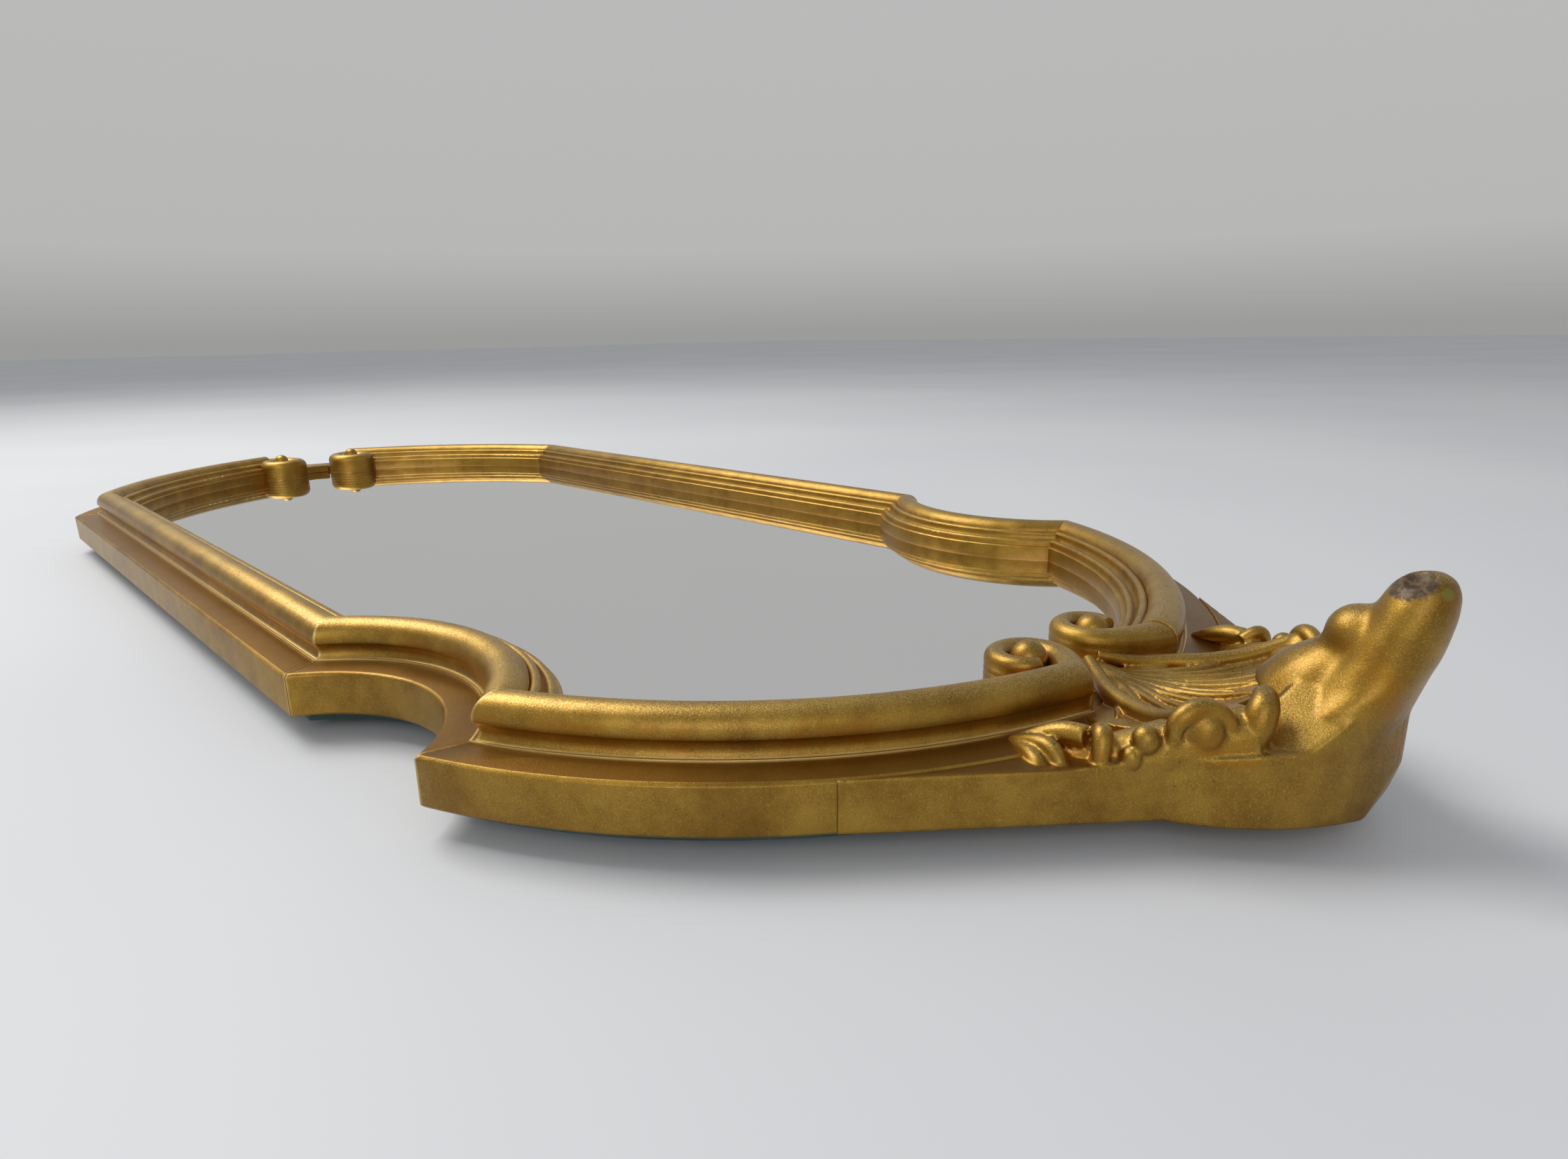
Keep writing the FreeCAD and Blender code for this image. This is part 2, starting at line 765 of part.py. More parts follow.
def screw(name, spot):
    """A countersunk wood screw, head flush with the back of the board."""
    head = doc.addObject("Part::Cone", name + "_head")
    head.setExpression("Radius1", "Sizes.screw_head_radius")
    head.setExpression("Radius2", "Sizes.screw_radius")
    head.setExpression("Height", "Sizes.screw_head_depth")
    head.Placement = at(spot.x, spot.y, BOARD_BOTTOM)
    shank = cylinder(name + "_shank", "Sizes.screw_radius", "Sizes.screw_length",
                     at(spot.x, spot.y, BOARD_BOTTOM))
    return fused(name, [head, shank])


def pads():
    """Felt pads on the back of the board, near its corners and at its middle."""
    inset = (size("board_inset") + size("rebate_inset")) / 2 + size("pad_radius")
    points = joints(inset)
    middle = (points[1] + points[2]) * 0.5
    spots = [points[1] + V(0, -6.0, 0), middle, points[3] + V(-8.0, -8.0, 0)]
    pieces = []
    for number, spot in enumerate(spots + [mirrored(spot) for spot in spots]):
        place = at(spot.x, spot.y, 0)
        pieces.append(cylinder("pad_%d" % number, "Sizes.pad_radius", "Sizes.pad_height",
                               place))
    return grouped("felt_pads", pieces)


# ---------------------------------------------------------------- hangers
HINGE_DROP = size("ring_wire_radius") + size("ring_clearance") + size("knuckle_wall")


def hinge_point():
    """The centre of the right hanger's hinge."""
    y = CREST_ROOT.y + size("hanger_setback")
    return V(size("hanger_side"), y, BOARD_BOTTOM - HINGE_DROP)


def strap_screw_spots():
    hinge = hinge_point()
    reach = HINGE_DROP + size("strap_length")
    return [V(hinge.x, hinge.y + reach * share, 0) for share in (0.42, 0.8)]


def strap_screws():
    """Round-headed screws through the strap into the backboard and the card."""
    pieces = []
    face = BOARD_BOTTOM - size("strap_thickness")
    for side, number in ((1, 0), (1, 1), (-1, 0), (-1, 1)):
        spot = strap_screw_spots()[number]
        name = "strap_screw_%d_%d" % (side + 1, number)
        head = cylinder(name + "_head", "Sizes.strap_screw_head", "Sizes.strap_screw_rise",
                        at(side * spot.x, spot.y, face - size("strap_screw_rise")))
        shank = cylinder(name + "_shank", "Sizes.strap_screw_radius",
                         "Sizes.strap_thickness + Sizes.board_thickness",
                         at(side * spot.x, spot.y, face))
        pieces.append(fused(name, [head, shank]))
    return pieces


def strap(screws):
    """A strap with its end rolled round the bar of the ring."""
    hinge = hinge_point()
    width = size("strap_width")
    bore = size("ring_wire_radius") + size("ring_clearance")
    plate = doc.addObject("Part::Box", "strap_plate")
    plate.setExpression("Length", "Sizes.strap_width")
    plate.setExpression("Width", "Sizes.strap_length")
    plate.setExpression("Height", "Sizes.strap_thickness")
    plate.Placement = at(hinge.x - width / 2, hinge.y, BOARD_BOTTOM - size("strap_thickness"))
    along_x = FreeCAD.Rotation(V(0, 1, 0), 90)
    place = FreeCAD.Placement(V(hinge.x - width / 2, hinge.y, hinge.z), along_x)
    knuckle = cylinder("strap_knuckle",
                       "Sizes.ring_wire_radius + Sizes.ring_clearance + Sizes.knuckle_wall",
                       "Sizes.strap_width", place)
    longer = FreeCAD.Placement(V(hinge.x - width / 2 - 1, hinge.y, hinge.z), along_x)
    tunnel = doc.addObject("Part::Cylinder", "strap_tunnel")
    tunnel.Radius = bore
    tunnel.Height = width + 2
    tunnel.Placement = longer
    return cut("hanger_strap_right", fused("strap_rough", [plate, knuckle]),
               [tunnel] + screws)


def ring():
    """The swinging ring: a bar through the knuckle closed by half a hoop."""
    hinge = hinge_point()
    radius = size("ring_radius")
    wire = "Sizes.ring_wire_radius"
    hoop = doc.addObject("Part::Torus", "ring_hoop")
    hoop.setExpression("Radius1", "Sizes.ring_radius")
    hoop.setExpression("Radius2", wire)
    hoop.Angle3 = 180
    hoop.Placement = at(hinge.x, hinge.y, hinge.z, UP, 180)
    along_x = FreeCAD.Rotation(V(0, 1, 0), 90)
    bar = cylinder("ring_bar", wire, "2 * Sizes.ring_radius",
                   FreeCAD.Placement(V(hinge.x - radius, hinge.y, hinge.z), along_x))
    pieces = [hoop, bar]
    for side in (-1, 1):
        elbow = doc.addObject("Part::Sphere", "ring_elbow_%d" % (side + 1))
        elbow.setExpression("Radius", wire)
        elbow.Placement = at(hinge.x + side * radius, hinge.y, hinge.z)
        pieces.append(elbow)
    return fused("hanger_ring_right", pieces)


# ---------------------------------------------------------------- assembly
def build():
    """Every sub-part as (node name, document object)."""
    parts = {}
    screws = [screw("screw_%02d" % n, spot) for n, spot in enumerate(screw_spots())]
    hanger_screws = strap_screws()
    pins = dowels()
    drilled = screws + [pins]
    rail_tools = grouped("rail_tools", drilled)
    for index, name in enumerate(NAMES):
        body = rail_body(index)
        left = mirror_copy("rail_%s_other" % name, body)
        parts["rail_%s_right" % name] = cut("rail_%s_right" % name, body, [rail_tools])
        parts["rail_%s_left" % name] = cut("rail_%s_left" % name, left, [rail_tools])

    lengths = mouldings()
    parts["moulding_long_right"] = lengths["long"]
    parts["moulding_notch_right"] = lengths["notch"]
    curls = (("far", FOOT, "foot_curl_angle", 1, FOOT_CURL),
             ("near", SHOULDER, "crest_curl_angle", -1, CREST_CURL))
    for name, bow, heading, up, radii in curls:
        shape, eye = curl(bow, size(heading), up, radii)
        rough = shaped("curl_" + name, shape)
        pin = bead("bead_%s_right" % name, eye)
        rail = parts["rail_%s_right" % name]
        sheath = cut("moulding_%s_right" % name, lengths[name], [pin])
        parts["moulding_%s_right" % name] = sheath
        parts["volute_%s_right" % name] = cut("volute_%s_right" % name, rough,
                                              [rail, sheath, pin])
        parts["bead_%s_right" % name] = pin

    for name in list(parts):
        if name.endswith("_right") and not name.startswith("rail"):
            copy = name.replace("_right", "_left")
            parts[copy] = mirror_copy(copy, parts[name])

    near_rails = [parts["rail_near_left"], parts["rail_near_right"], pins]
    parts["crest_base"], neck, rim_end = crest_base(near_rails)
    parts["crest_horn"] = horn(rim_end)
    beside = [pins, parts["crest_horn"]]
    beside += [parts[name] for name in parts if "near" in name]
    parts["crest_fan"] = fan_floor(neck, rim_end, beside + [parts["crest_base"]])
    parts["crest_ribs"] = fan_ribs(neck, beside + [parts["crest_fan"]])
    around = [parts["crest_base"], parts["crest_horn"], parts["crest_fan"],
              parts["rail_near_right"], parts["moulding_near_right"], parts["crest_ribs"]]
    parts["crest_leaf_right"] = leaf(neck, rim_end, around)
    parts["crest_leaf_left"] = mirror_copy("crest_leaf_left", parts["crest_leaf_right"])
    parts["crest_dowels"] = pins

    far_volutes = [parts["volute_far_left"], parts["volute_far_right"],
                   parts["moulding_far_left"], parts["moulding_far_right"]]
    parts["far_bridge"] = cut("far_bridge", bridge(), far_volutes)
    parts["mirror_glass"] = glass()
    parts["packing_card"] = packing()
    parts["backboard"] = cut("backboard", backboard(), screws + hanger_screws)
    parts["backboard_screws"] = grouped("backboard_screws", screws)
    parts["felt_pads"] = pads()
    parts["hanger_screws"] = grouped("hanger_screws", hanger_screws)
    parts["hanger_strap_right"] = strap(hanger_screws)
    parts["hanger_strap_left"] = mirror_copy("hanger_strap_left", parts["hanger_strap_right"])
    parts["hanger_ring_right"] = ring()
    parts["hanger_ring_left"] = mirror_copy("hanger_ring_left", parts["hanger_ring_right"])
    return parts


parts = build()
doc.recompute()
for thing in doc.Objects:
    assert "Invalid" not in thing.State, "%s is invalid" % thing.Name
    assert "Error" not in thing.State, "%s has an error" % thing.Name
os.makedirs("parts", exist_ok=True)
for name, part in parts.items():
    label(part, name)
    shape = part.Shape
    assert not shape.isNull() and shape.isValid(), "%s has no valid shape" % name
    assert shape.Solids, "%s has no solid" % name
    shape.exportStep("parts/%s.step" % name)
    box = shape.BoundBox
    print("%-22s %2d solid(s) %10.1f mm3  x %7.1f %7.1f  y %7.1f %7.1f  z %5.1f %5.1f" % (
        name, len(shape.Solids), shape.Volume, box.XMin, box.XMax, box.YMin, box.YMax,
        box.ZMin, box.ZMax))
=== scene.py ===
# %% [markdown]
# # A gilded wall mirror with a shaped frame
#
# The mirror lies on its back.  Its frame is eight lengths of rail with a moulding mitred
# on top, two pairs of curled volutes, and a carved crest at the top end whose nose leans
# out over the rim.  The wood is covered with bronze-gold paint over gesso.
#
# The frame's sawn and planed parts come from the CAD model, and this lesson gives them
# soft edges.  The carved parts are modelled here: they are roughed out from tubes, balls
# and lofts, melted into one skin with a voxel remesh, and smoothed, as gesso does it.
#
# +X is the mirror's right, +Y its bottom end, +Z is away from the wall.

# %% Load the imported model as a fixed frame
import json
import math

import bpy
from mathutils import Matrix, Vector

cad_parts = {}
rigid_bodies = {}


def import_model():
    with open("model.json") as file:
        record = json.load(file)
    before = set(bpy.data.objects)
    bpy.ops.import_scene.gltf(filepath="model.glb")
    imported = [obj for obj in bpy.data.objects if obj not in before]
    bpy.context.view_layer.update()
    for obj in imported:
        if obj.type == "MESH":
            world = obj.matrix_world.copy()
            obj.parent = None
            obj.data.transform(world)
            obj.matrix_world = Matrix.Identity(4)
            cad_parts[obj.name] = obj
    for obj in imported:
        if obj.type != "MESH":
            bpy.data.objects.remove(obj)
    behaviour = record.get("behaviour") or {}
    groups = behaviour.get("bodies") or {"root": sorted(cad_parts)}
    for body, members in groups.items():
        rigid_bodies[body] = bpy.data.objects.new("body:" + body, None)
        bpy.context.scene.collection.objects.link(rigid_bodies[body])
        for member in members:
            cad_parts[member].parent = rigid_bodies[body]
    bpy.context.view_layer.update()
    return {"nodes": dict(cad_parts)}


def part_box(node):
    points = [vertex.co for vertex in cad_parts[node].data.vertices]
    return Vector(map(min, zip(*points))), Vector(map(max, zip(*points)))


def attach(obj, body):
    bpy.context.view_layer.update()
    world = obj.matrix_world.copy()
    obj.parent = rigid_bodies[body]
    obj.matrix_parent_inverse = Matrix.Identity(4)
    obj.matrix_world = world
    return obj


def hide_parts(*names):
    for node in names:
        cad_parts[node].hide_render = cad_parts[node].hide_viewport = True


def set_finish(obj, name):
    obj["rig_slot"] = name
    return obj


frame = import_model()
MM = 0.001

# %% [markdown]
# ## Levels of the frame
#
# The heights that most pieces share are read from the CAD nodes, so the new pieces sit
# exactly on the glass and on the ledge of the rails.

# %% Read the levels in millimetres
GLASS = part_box("mirror_glass")[1].z / MM
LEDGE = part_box("rail_long_left")[1].z / MM
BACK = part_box("rail_long_left")[0].z / MM
VOLUTE_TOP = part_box("volute_far_left")[1].z / MM
print("glass %.2f, ledge %.2f, back of the rails %.2f" % (GLASS, LEDGE, BACK))

# %% [markdown]
# ## Helpers for modelling
#
# An operator acts on everything that is selected, so each helper starts with nothing
# selected and makes its own object active.

# %% Selecting, editing and joining
def only(piece):
    """Nothing but this piece is selected, and it is active."""
    bpy.ops.object.select_all(action="DESELECT")
    piece.select_set(True)
    bpy.context.view_layer.objects.active = piece


def edit(piece):
    """Edit mode on this piece, with its whole mesh selected."""
    only(piece)
    bpy.ops.object.mode_set(mode="EDIT")
    bpy.ops.mesh.select_all(action="SELECT")


def leave():
    """Back to object mode, which stores the edits in the mesh."""
    bpy.ops.object.mode_set(mode="OBJECT")


def joined(name, pieces):
    """The pieces as one object, placed in its mesh."""
    only(pieces[0])
    for piece in pieces[1:]:
        piece.select_set(True)
    if len(pieces) > 1:
        bpy.ops.object.join()
    result = bpy.context.view_layer.objects.active
    bpy.ops.object.transform_apply(location=True, rotation=True, scale=True)
    result.name = name
    result.data.name = name
    return result


# %% Modifiers, shading and counting
def applied(piece, kind, **settings):
    """A modifier on the piece, set and applied at once."""
    only(piece)
    modifier = piece.modifiers.new(kind.title(), kind)
    for key, value in settings.items():
        setattr(modifier, key, value)
    bpy.ops.object.modifier_apply(modifier=modifier.name)
    return piece


def smooth(piece, angle):
    """Smooth shading across edges that turn less than an angle in degrees."""
    only(piece)
    bpy.ops.object.shade_smooth_by_angle(angle=math.radians(angle))
    return piece


def triangles(piece):
    """How many triangles the faces of the piece make."""
    return sum(len(face.vertices) - 2 for face in piece.data.polygons)


# %% Riding on a body, with a finish from the record
def settled(piece, slot, nodes, body="frame"):
    """The piece rides on a body and stands for its CAD nodes."""
    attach(piece, body)
    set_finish(piece, slot)
    if nodes:
        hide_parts(*nodes)
    print("%-20s %6d triangles" % (piece.name, triangles(piece)))
    return piece


# %% [markdown]
# ## Rails and mouldings
#
# A sawn rail has crisp corners, but gesso and paint round them.  A CAD node's mesh is
# loose triangles, so a copy is merged, its flat faces are made whole again, and a narrow
# bevel goes round its edges.  The mitres stay visible as fine lines, as on the real frame.

# %% Merge and soften a copy of a CAD node
MERGED_WITHIN = 0.004 * MM
FLAT_WITHIN = math.radians(0.4)


def merged_copy(node, name):
    """A copy of a CAD node's mesh, merged, with whole flat faces."""
    mesh = frame["nodes"][node].data.copy()
    piece = bpy.data.objects.new(name, mesh)
    bpy.context.scene.collection.objects.link(piece)
    edit(piece)
    bpy.ops.mesh.remove_doubles(threshold=MERGED_WITHIN)
    bpy.ops.mesh.dissolve_limited(angle_limit=FLAT_WITHIN)
    leave()
    return piece


def eased_copy(node, name, width, sharp=34):
    """A merged copy; edges that turn more than sharp degrees get a round, in mm."""
    piece = merged_copy(node, name)
    applied(piece, "BEVEL", width=width * MM, segments=2, limit_method="ANGLE",
            angle_limit=math.radians(sharp), use_clamp_overlap=True,
            miter_outer="MITER_ARC")
    return smooth(piece, 40)


# %% The eight rails and the eight lengths of moulding
SIDES = ("left", "right")
LENGTHS = ("far", "long", "notch", "near")
RAIL_EASE, MOULDING_EASE = 0.35, 0.22
for side in SIDES:
    for length in LENGTHS:
        for kind, ease in (("rail", RAIL_EASE), ("moulding", MOULDING_EASE)):
            node = "%s_%s_%s" % (kind, length, side)
            settled(eased_copy(node, node + "_eased", ease), "gilt_" + kind, [node])

# %% [markdown]
# ## Tubes along a smooth line
#
# A carver's scrolls, ridges and ruffles are rounds that swell and taper along a curve.
# A NURBS path with a round bevel is that shape: each point has its own radius.  It is
# made a mesh with closed ends, and then joined with its neighbours.

# %% A tapering tube through given points
def tube(points, radii, sides=6):
    """A round tube through points in mm, with a radius in mm at each."""
    bpy.ops.object.select_all(action="DESELECT")
    bpy.ops.curve.primitive_nurbs_path_add(location=(0, 0, 0))
    path = bpy.context.view_layer.objects.active
    spline = path.data.splines[0]
    spline.points.add(max(0, len(points) - len(spline.points)))
    # A new path has five points, so a shorter line ends on its last point again.
    while len(points) < len(spline.points):
        points = points + [points[-1]]
        radii = radii + [radii[-1]]
    for knot, point, radius in zip(spline.points, points, radii):
        knot.co = (*[v * MM for v in point], 1)
        knot.radius = radius
    spline.order_u = 3
    spline.use_endpoint_u = True
    path.data.resolution_u = 8
    path.data.bevel_depth = MM
    path.data.bevel_resolution = sides
    path.data.use_fill_caps = True
    bpy.ops.object.convert(target="MESH")
    return bpy.context.view_layer.objects.active


def ball(centre, radii):
    """A ball stretched to three radii, in mm."""
    bpy.ops.object.select_all(action="DESELECT")
    bpy.ops.mesh.primitive_uv_sphere_add(segments=32, ring_count=20, radius=MM,
                                         location=[v * MM for v in centre], scale=radii)
    return bpy.context.view_layer.objects.active


def melted(name, pieces, voxel, rounds):
    """The pieces fused into one skin by a remesh with voxels in mm, then smoothed."""
    piece = joined(name, pieces)
    piece.data.remesh_voxel_size = voxel * MM
    piece.data.remesh_voxel_adaptivity = 0.0
    only(piece)
    bpy.ops.object.voxel_remesh()
    applied(piece, "SMOOTH", factor=0.5, iterations=rounds)
    smooth(piece, 180)
    return piece


def mirrored(piece, name):
    """The same piece on the other side of the centre line."""
    copy = bpy.data.objects.new(name, piece.data.copy())
    bpy.context.scene.collection.objects.link(copy)
    copy.data.transform(Matrix.Scale(-1, 4, (1, 0, 0)))
    edit(copy)
    bpy.ops.mesh.flip_normals()
    leave()
    copy.data.name = name
    return smooth(copy, 180)


# %% [markdown]
# ## Volutes
#
# The moulding's round ends in a spiral band that winds about a round-topped pin.  The
# band's centre line passes through a few stations, each with an angle about the pin, a
# radius and a width.  Tubes stacked from the glass to the top make an upright wall with a
# round top once they are melted.

# %% A spiral wall about an eye
WALL_FOOT, WALL_STEP = 1.0, 1.6


def spiral_wall(eye, stations, top):
    """Stacked tubes through stations of (angle in degrees, radius, half width) in mm."""
    layers = []
    line = []
    for (angle, radius, half), following in zip(stations, stations[1:] + stations[-1:]):
        for share in (0.0, 0.5) if following[0] != angle else (0.0,):
            turn = math.radians(angle + (following[0] - angle) * share)
            reach = radius + (following[1] - radius) * share
            line.append((eye[0] + reach * math.cos(turn), eye[1] + reach * math.sin(turn),
                         half + (following[2] - half) * share))
    level = GLASS + WALL_FOOT
    while level < top:
        path = [(x, y, min(level, top - half)) for x, y, half in line]
        layers.append(tube(path, [half for x, y, half in line]))
        level += WALL_STEP
    return layers


def eye_of(node):
    """The middle of a CAD pin in plan, in mm."""
    low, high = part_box(node)
    middle = (low + high) / 2
    return middle.x / MM, middle.y / MM


# %% An open curl beside the crest
CURL_VOXEL = 0.38
LEAVING, LEAVING_REACH = math.radians(-66), 13.4
BAND_REACH = 7.3
# Each station: degrees turned, share of the spare reach that is left, half width in mm.
OPEN_CURL = [(0, 1.0, 4.6), (18, 0.50, 4.2), (38, 0.19, 3.8), (62, 0.05, 3.4),
             (90, 0.0, 3.1), (120, 0.0, 3.0), (155, 0.0, 2.9), (195, 0.0, 2.8),
             (235, -0.02, 2.6), (275, -0.10, 2.4), (312, -0.20, 2.1), (340, -0.30, 1.6)]


def open_curl(eye, drift):
    """A curl that leaves the moulding's end and winds about an eye set off by drift."""
    away = Vector((LEAVING_REACH * math.cos(LEAVING) - drift,
                   LEAVING_REACH * math.sin(LEAVING)))
    heading = math.degrees(math.atan2(away.y, away.x))
    spare = away.length - BAND_REACH
    return spiral_wall((eye[0] + drift, eye[1]),
                       [(heading - turn, BAND_REACH + spare * share, half)
                        for turn, share, half in OPEN_CURL], VOLUTE_TOP + 0.2)


# %% The two open volutes, each with its own drift
DRIFT_LEFT, DRIFT_RIGHT = 2.4, -5.6
volute = melted("volute_near_right_carved",
                open_curl(eye_of("bead_near_right"), DRIFT_RIGHT), CURL_VOXEL, 5)
settled(volute, "gilt_scroll", ["volute_near_right"])
model = melted("curl_to_mirror",
               open_curl(eye_of("bead_near_right"), DRIFT_LEFT), CURL_VOXEL, 5)
settled(mirrored(model, "volute_near_left_carved"), "gilt_scroll", ["volute_near_left"])
bpy.data.objects.remove(model)

# %% The closed volutes at the bottom end
CLOSED_CURL = [(64, 13.4, 4.6), (90, 11.2, 4.3), (120, 9.9, 4.1), (160, 9.3, 4.0),
               (200, 9.2, 4.0), (240, 9.1, 3.9), (280, 9.0, 3.9), (320, 8.8, 3.8),
               (360, 8.5, 3.6), (400, 7.7, 3.3), (440, 6.5, 2.8), (470, 5.6, 2.3)]
walls = spiral_wall(eye_of("bead_far_right"), CLOSED_CURL, VOLUTE_TOP - 0.9)
volute_far = melted("volute_far_right_carved", walls, CURL_VOXEL, 3)
settled(volute_far, "gilt_scroll", ["volute_far_right"])
settled(mirrored(volute_far, "volute_far_left_carved"), "gilt_scroll", ["volute_far_left"])

# %% [markdown]
# ## Round-topped pins
#
# Each volute winds about a turned pin.  A sphere whose lower half is drawn down to the
# glass makes it: the lower vertices are moved together, and the pin stays closed.

# %% Turn a pin
DRAWN_BELOW = 1.35


def pin(node, name, radius, drift, lift):
    """A pin with a domed top, at a CAD pin's place or set off from it, in mm."""
    low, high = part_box(node)
    middle = (low + high) / 2 + Vector((drift * MM, 0, 0))
    high = high + Vector((0, 0, lift * MM))
    radius = radius * MM
    bpy.ops.object.select_all(action="DESELECT")
    bpy.ops.mesh.primitive_uv_sphere_add(segments=40, ring_count=24, radius=radius,
                                         location=(middle.x, middle.y, high.z - radius))
    piece = joined(name, [bpy.context.view_layer.objects.active])
    edit(piece)
    bpy.ops.mesh.select_all(action="DESELECT")
    leave()
    for vertex in piece.data.vertices:
        vertex.select = vertex.co.z < high.z - radius * DRAWN_BELOW
    bpy.ops.object.mode_set(mode="EDIT")
    bpy.ops.mesh.select_mode(type="VERT")
    bpy.ops.transform.translate(value=(0, 0, low.z - (high.z - 2 * radius)))
    leave()
    return smooth(piece, 180)


# %% The four pins
for end, side, radius, drift, lift in (
        ("near", "left", 4.1, -DRIFT_LEFT, 1.2), ("near", "right", 4.1, DRIFT_RIGHT, 0.6),
        ("far", "left", 3.6, 0, 1.0), ("far", "right", 3.6, 0, 1.0)):
    node = "bead_%s_%s" % (end, side)
    settled(pin(node, node + "_turned", radius, drift, lift), "gilt_scroll", [node])

# %% [markdown]
# ## The carved crest
#
# The crest is a block outside the top rails.  Its flank rises to a slanting crease, and
# from there a nose leans out and climbs to a worn tip.  The nose is lofted: one circle is
# extruded upwards, and each new ring is scaled, turned and moved to its place.

# %% Loft a nose from rings
RING_POINTS = 48


def loft(rings, creased):
    """Rings of (y, z, tilt in degrees, half length, half width) in mm, lowest first."""
    bpy.ops.object.select_all(action="DESELECT")
    bpy.ops.mesh.primitive_circle_add(vertices=RING_POINTS, radius=MM, fill_type="NGON",
                                      location=(0, 0, 0))
    piece = bpy.context.view_layer.objects.active
    edit(piece)
    centre = Vector((0, 0, 0))
    state = (0.0, 1.0, 1.0)
    for number, (y, z, tilt, length, width) in enumerate(rings):
        if number:
            bpy.ops.mesh.extrude_region_move()
        target = Vector((0, y * MM, z * MM))
        bpy.ops.transform.translate(value=target - centre)
        turned, long_before, wide_before = state
        bpy.ops.transform.rotate(value=math.radians(-turned), orient_axis="X",
                                 center_override=target)
        bpy.ops.transform.resize(value=(width / wide_before, length / long_before, 1),
                                 center_override=target)
        bpy.ops.transform.rotate(value=math.radians(tilt), orient_axis="X",
                                 center_override=target)
        if number == creased:
            bpy.ops.transform.edge_crease(value=0.9)
        centre = target
        state = (tilt, length, width)
    bpy.ops.mesh.select_all(action="SELECT")
    bpy.ops.mesh.normals_make_consistent(inside=False)
    leave()
    return piece


# %% [markdown]
# ### The block and the nose
#
# The block is three merged copies of the CAD block, each cut back below the nose.  The
# core keeps its height and ends where the feathered tails begin.  The flank is drawn up to
# meet the leaves and the nose.  The prow is drawn up more and cut like a roof, so that its
# slopes leave the slanting crease below the nose.  All three are melted with the nose.

# %% Draw up a copy of the block and cut back its front
def cut_by(piece, point, normal):
    """Take off what lies beyond a plane, in mm, and close the cut."""
    edit(piece)
    bpy.ops.mesh.bisect(plane_co=[v * MM for v in point], plane_no=normal, use_fill=True,
                        clear_outer=True)
    leave()
    return piece


BLOCK_TOP = LEDGE - 0.1


def raised_block(name, rise):
    """A copy of the CAD block, drawn up, with the front cut back below the nose."""
    piece = merged_copy("crest_base", name)
    for vertex in piece.data.vertices:
        if vertex.co.z > BLOCK_TOP * MM:
            vertex.co.z += rise * MM
    return cut_by(piece, (0, -300.6, LEDGE), (0, -1, -0.30))


# %% Shape the flank, the core and the prow
FLANK_RISE, FLANK_END, FLANK_SLOPE = 9, 52, 0.13
FEATHER_END = 80.0
PROW_RISE, PROW_END = 17, 34
ROOF_CREST, ROOF_FALL = (0, -285.5, 34), (0, 0.85, 0.52)
ROOF_SIDE, ROOF_LEVEL = 20, 21.4

flank = raised_block("block_flank", FLANK_RISE)
cut_by(flank, (0, -257, BLOCK_TOP), (0, FLANK_SLOPE, 1))
for side in (1, -1):
    cut_by(flank, (side * FLANK_END, 0, 0), (side, 0, 0))

core = raised_block("block_core", 0)
prow = raised_block("block_prow", PROW_RISE)
cut_by(prow, ROOF_CREST, ROOF_FALL)
for side in (-1, 1):
    cut_by(core, (side * FEATHER_END, 0, 0), (side, 0, 0))
    cut_by(prow, (side * ROOF_SIDE, 0, ROOF_LEVEL), (side * 0.66, 0, 0.75))
    cut_by(prow, (side * PROW_END, 0, 0), (side, 0, 0))

# %% Raise the nose
CREASE_RING = 2
NOSE = [
    (-281.0, 10.0, 0, 14.6, 18.0),
    (-281.8, 17.0, 0, 16.0, 18.4),
    (-286.0, 22.4, 24, 16.4, 16.4),
    (-288.6, 26.2, 30, 16.0, 14.6),
    (-292.2, 31.6, 26, 12.6, 11.6),
    (-295.4, 37.4, 22, 9.6, 9.8),
    (-297.6, 42.8, 16, 7.6, 8.6),
    (-298.6, 47.2, 12, 6.5, 7.2),
    (-299.0, 50.6, 9, 5.0, 5.4),
    (-299.3, 52.6, 6, 2.6, 2.8),
]

# %% Give it a hump on its inner side and a skirt at its foot
nose = loft(NOSE, CREASE_RING)
applied(nose, "SUBSURF", levels=2, render_levels=2)
hump = ball((-0.6, -290.3, 39.2), (6.0, 5.8, 5.9))
skirt = tube([(0, -291.0, 41.0), (0, -290.0, 36.0), (0, -288.6, 32.0), (0, -286.6, 28.0),
              (0, -284.4, 23.0)], [4.2, 6.2, 8.6, 10.8, 12.4])
nose = melted("nose", [nose, hump, skirt], 0.8, 14)

# %% Melt the block and the nose together, and cut the worn hollow
rough = melted("crest_rough", [core, flank, prow, nose], 0.6, 3)
hollow = joined("hollow", [ball((-3.2, -298.0, 55.4), (4.6, 4.0, 5.4))])
applied(rough, "BOOLEAN", operation="DIFFERENCE", object=hollow)
bpy.data.objects.remove(hollow)

# %% [markdown]
# ### The ruffled leaves
#
# A leaf of ruffles climbs the rim of the block on each side: a folded tip on the ledge, an
# upright rib, small balls, an arched scroll, and a large lobe beside the nose.  They are
# in low relief, so a thick bank runs along the rim and the lobes stand out of it.  The
# whole block is melted once more with them, so the gesso runs on without a seam.

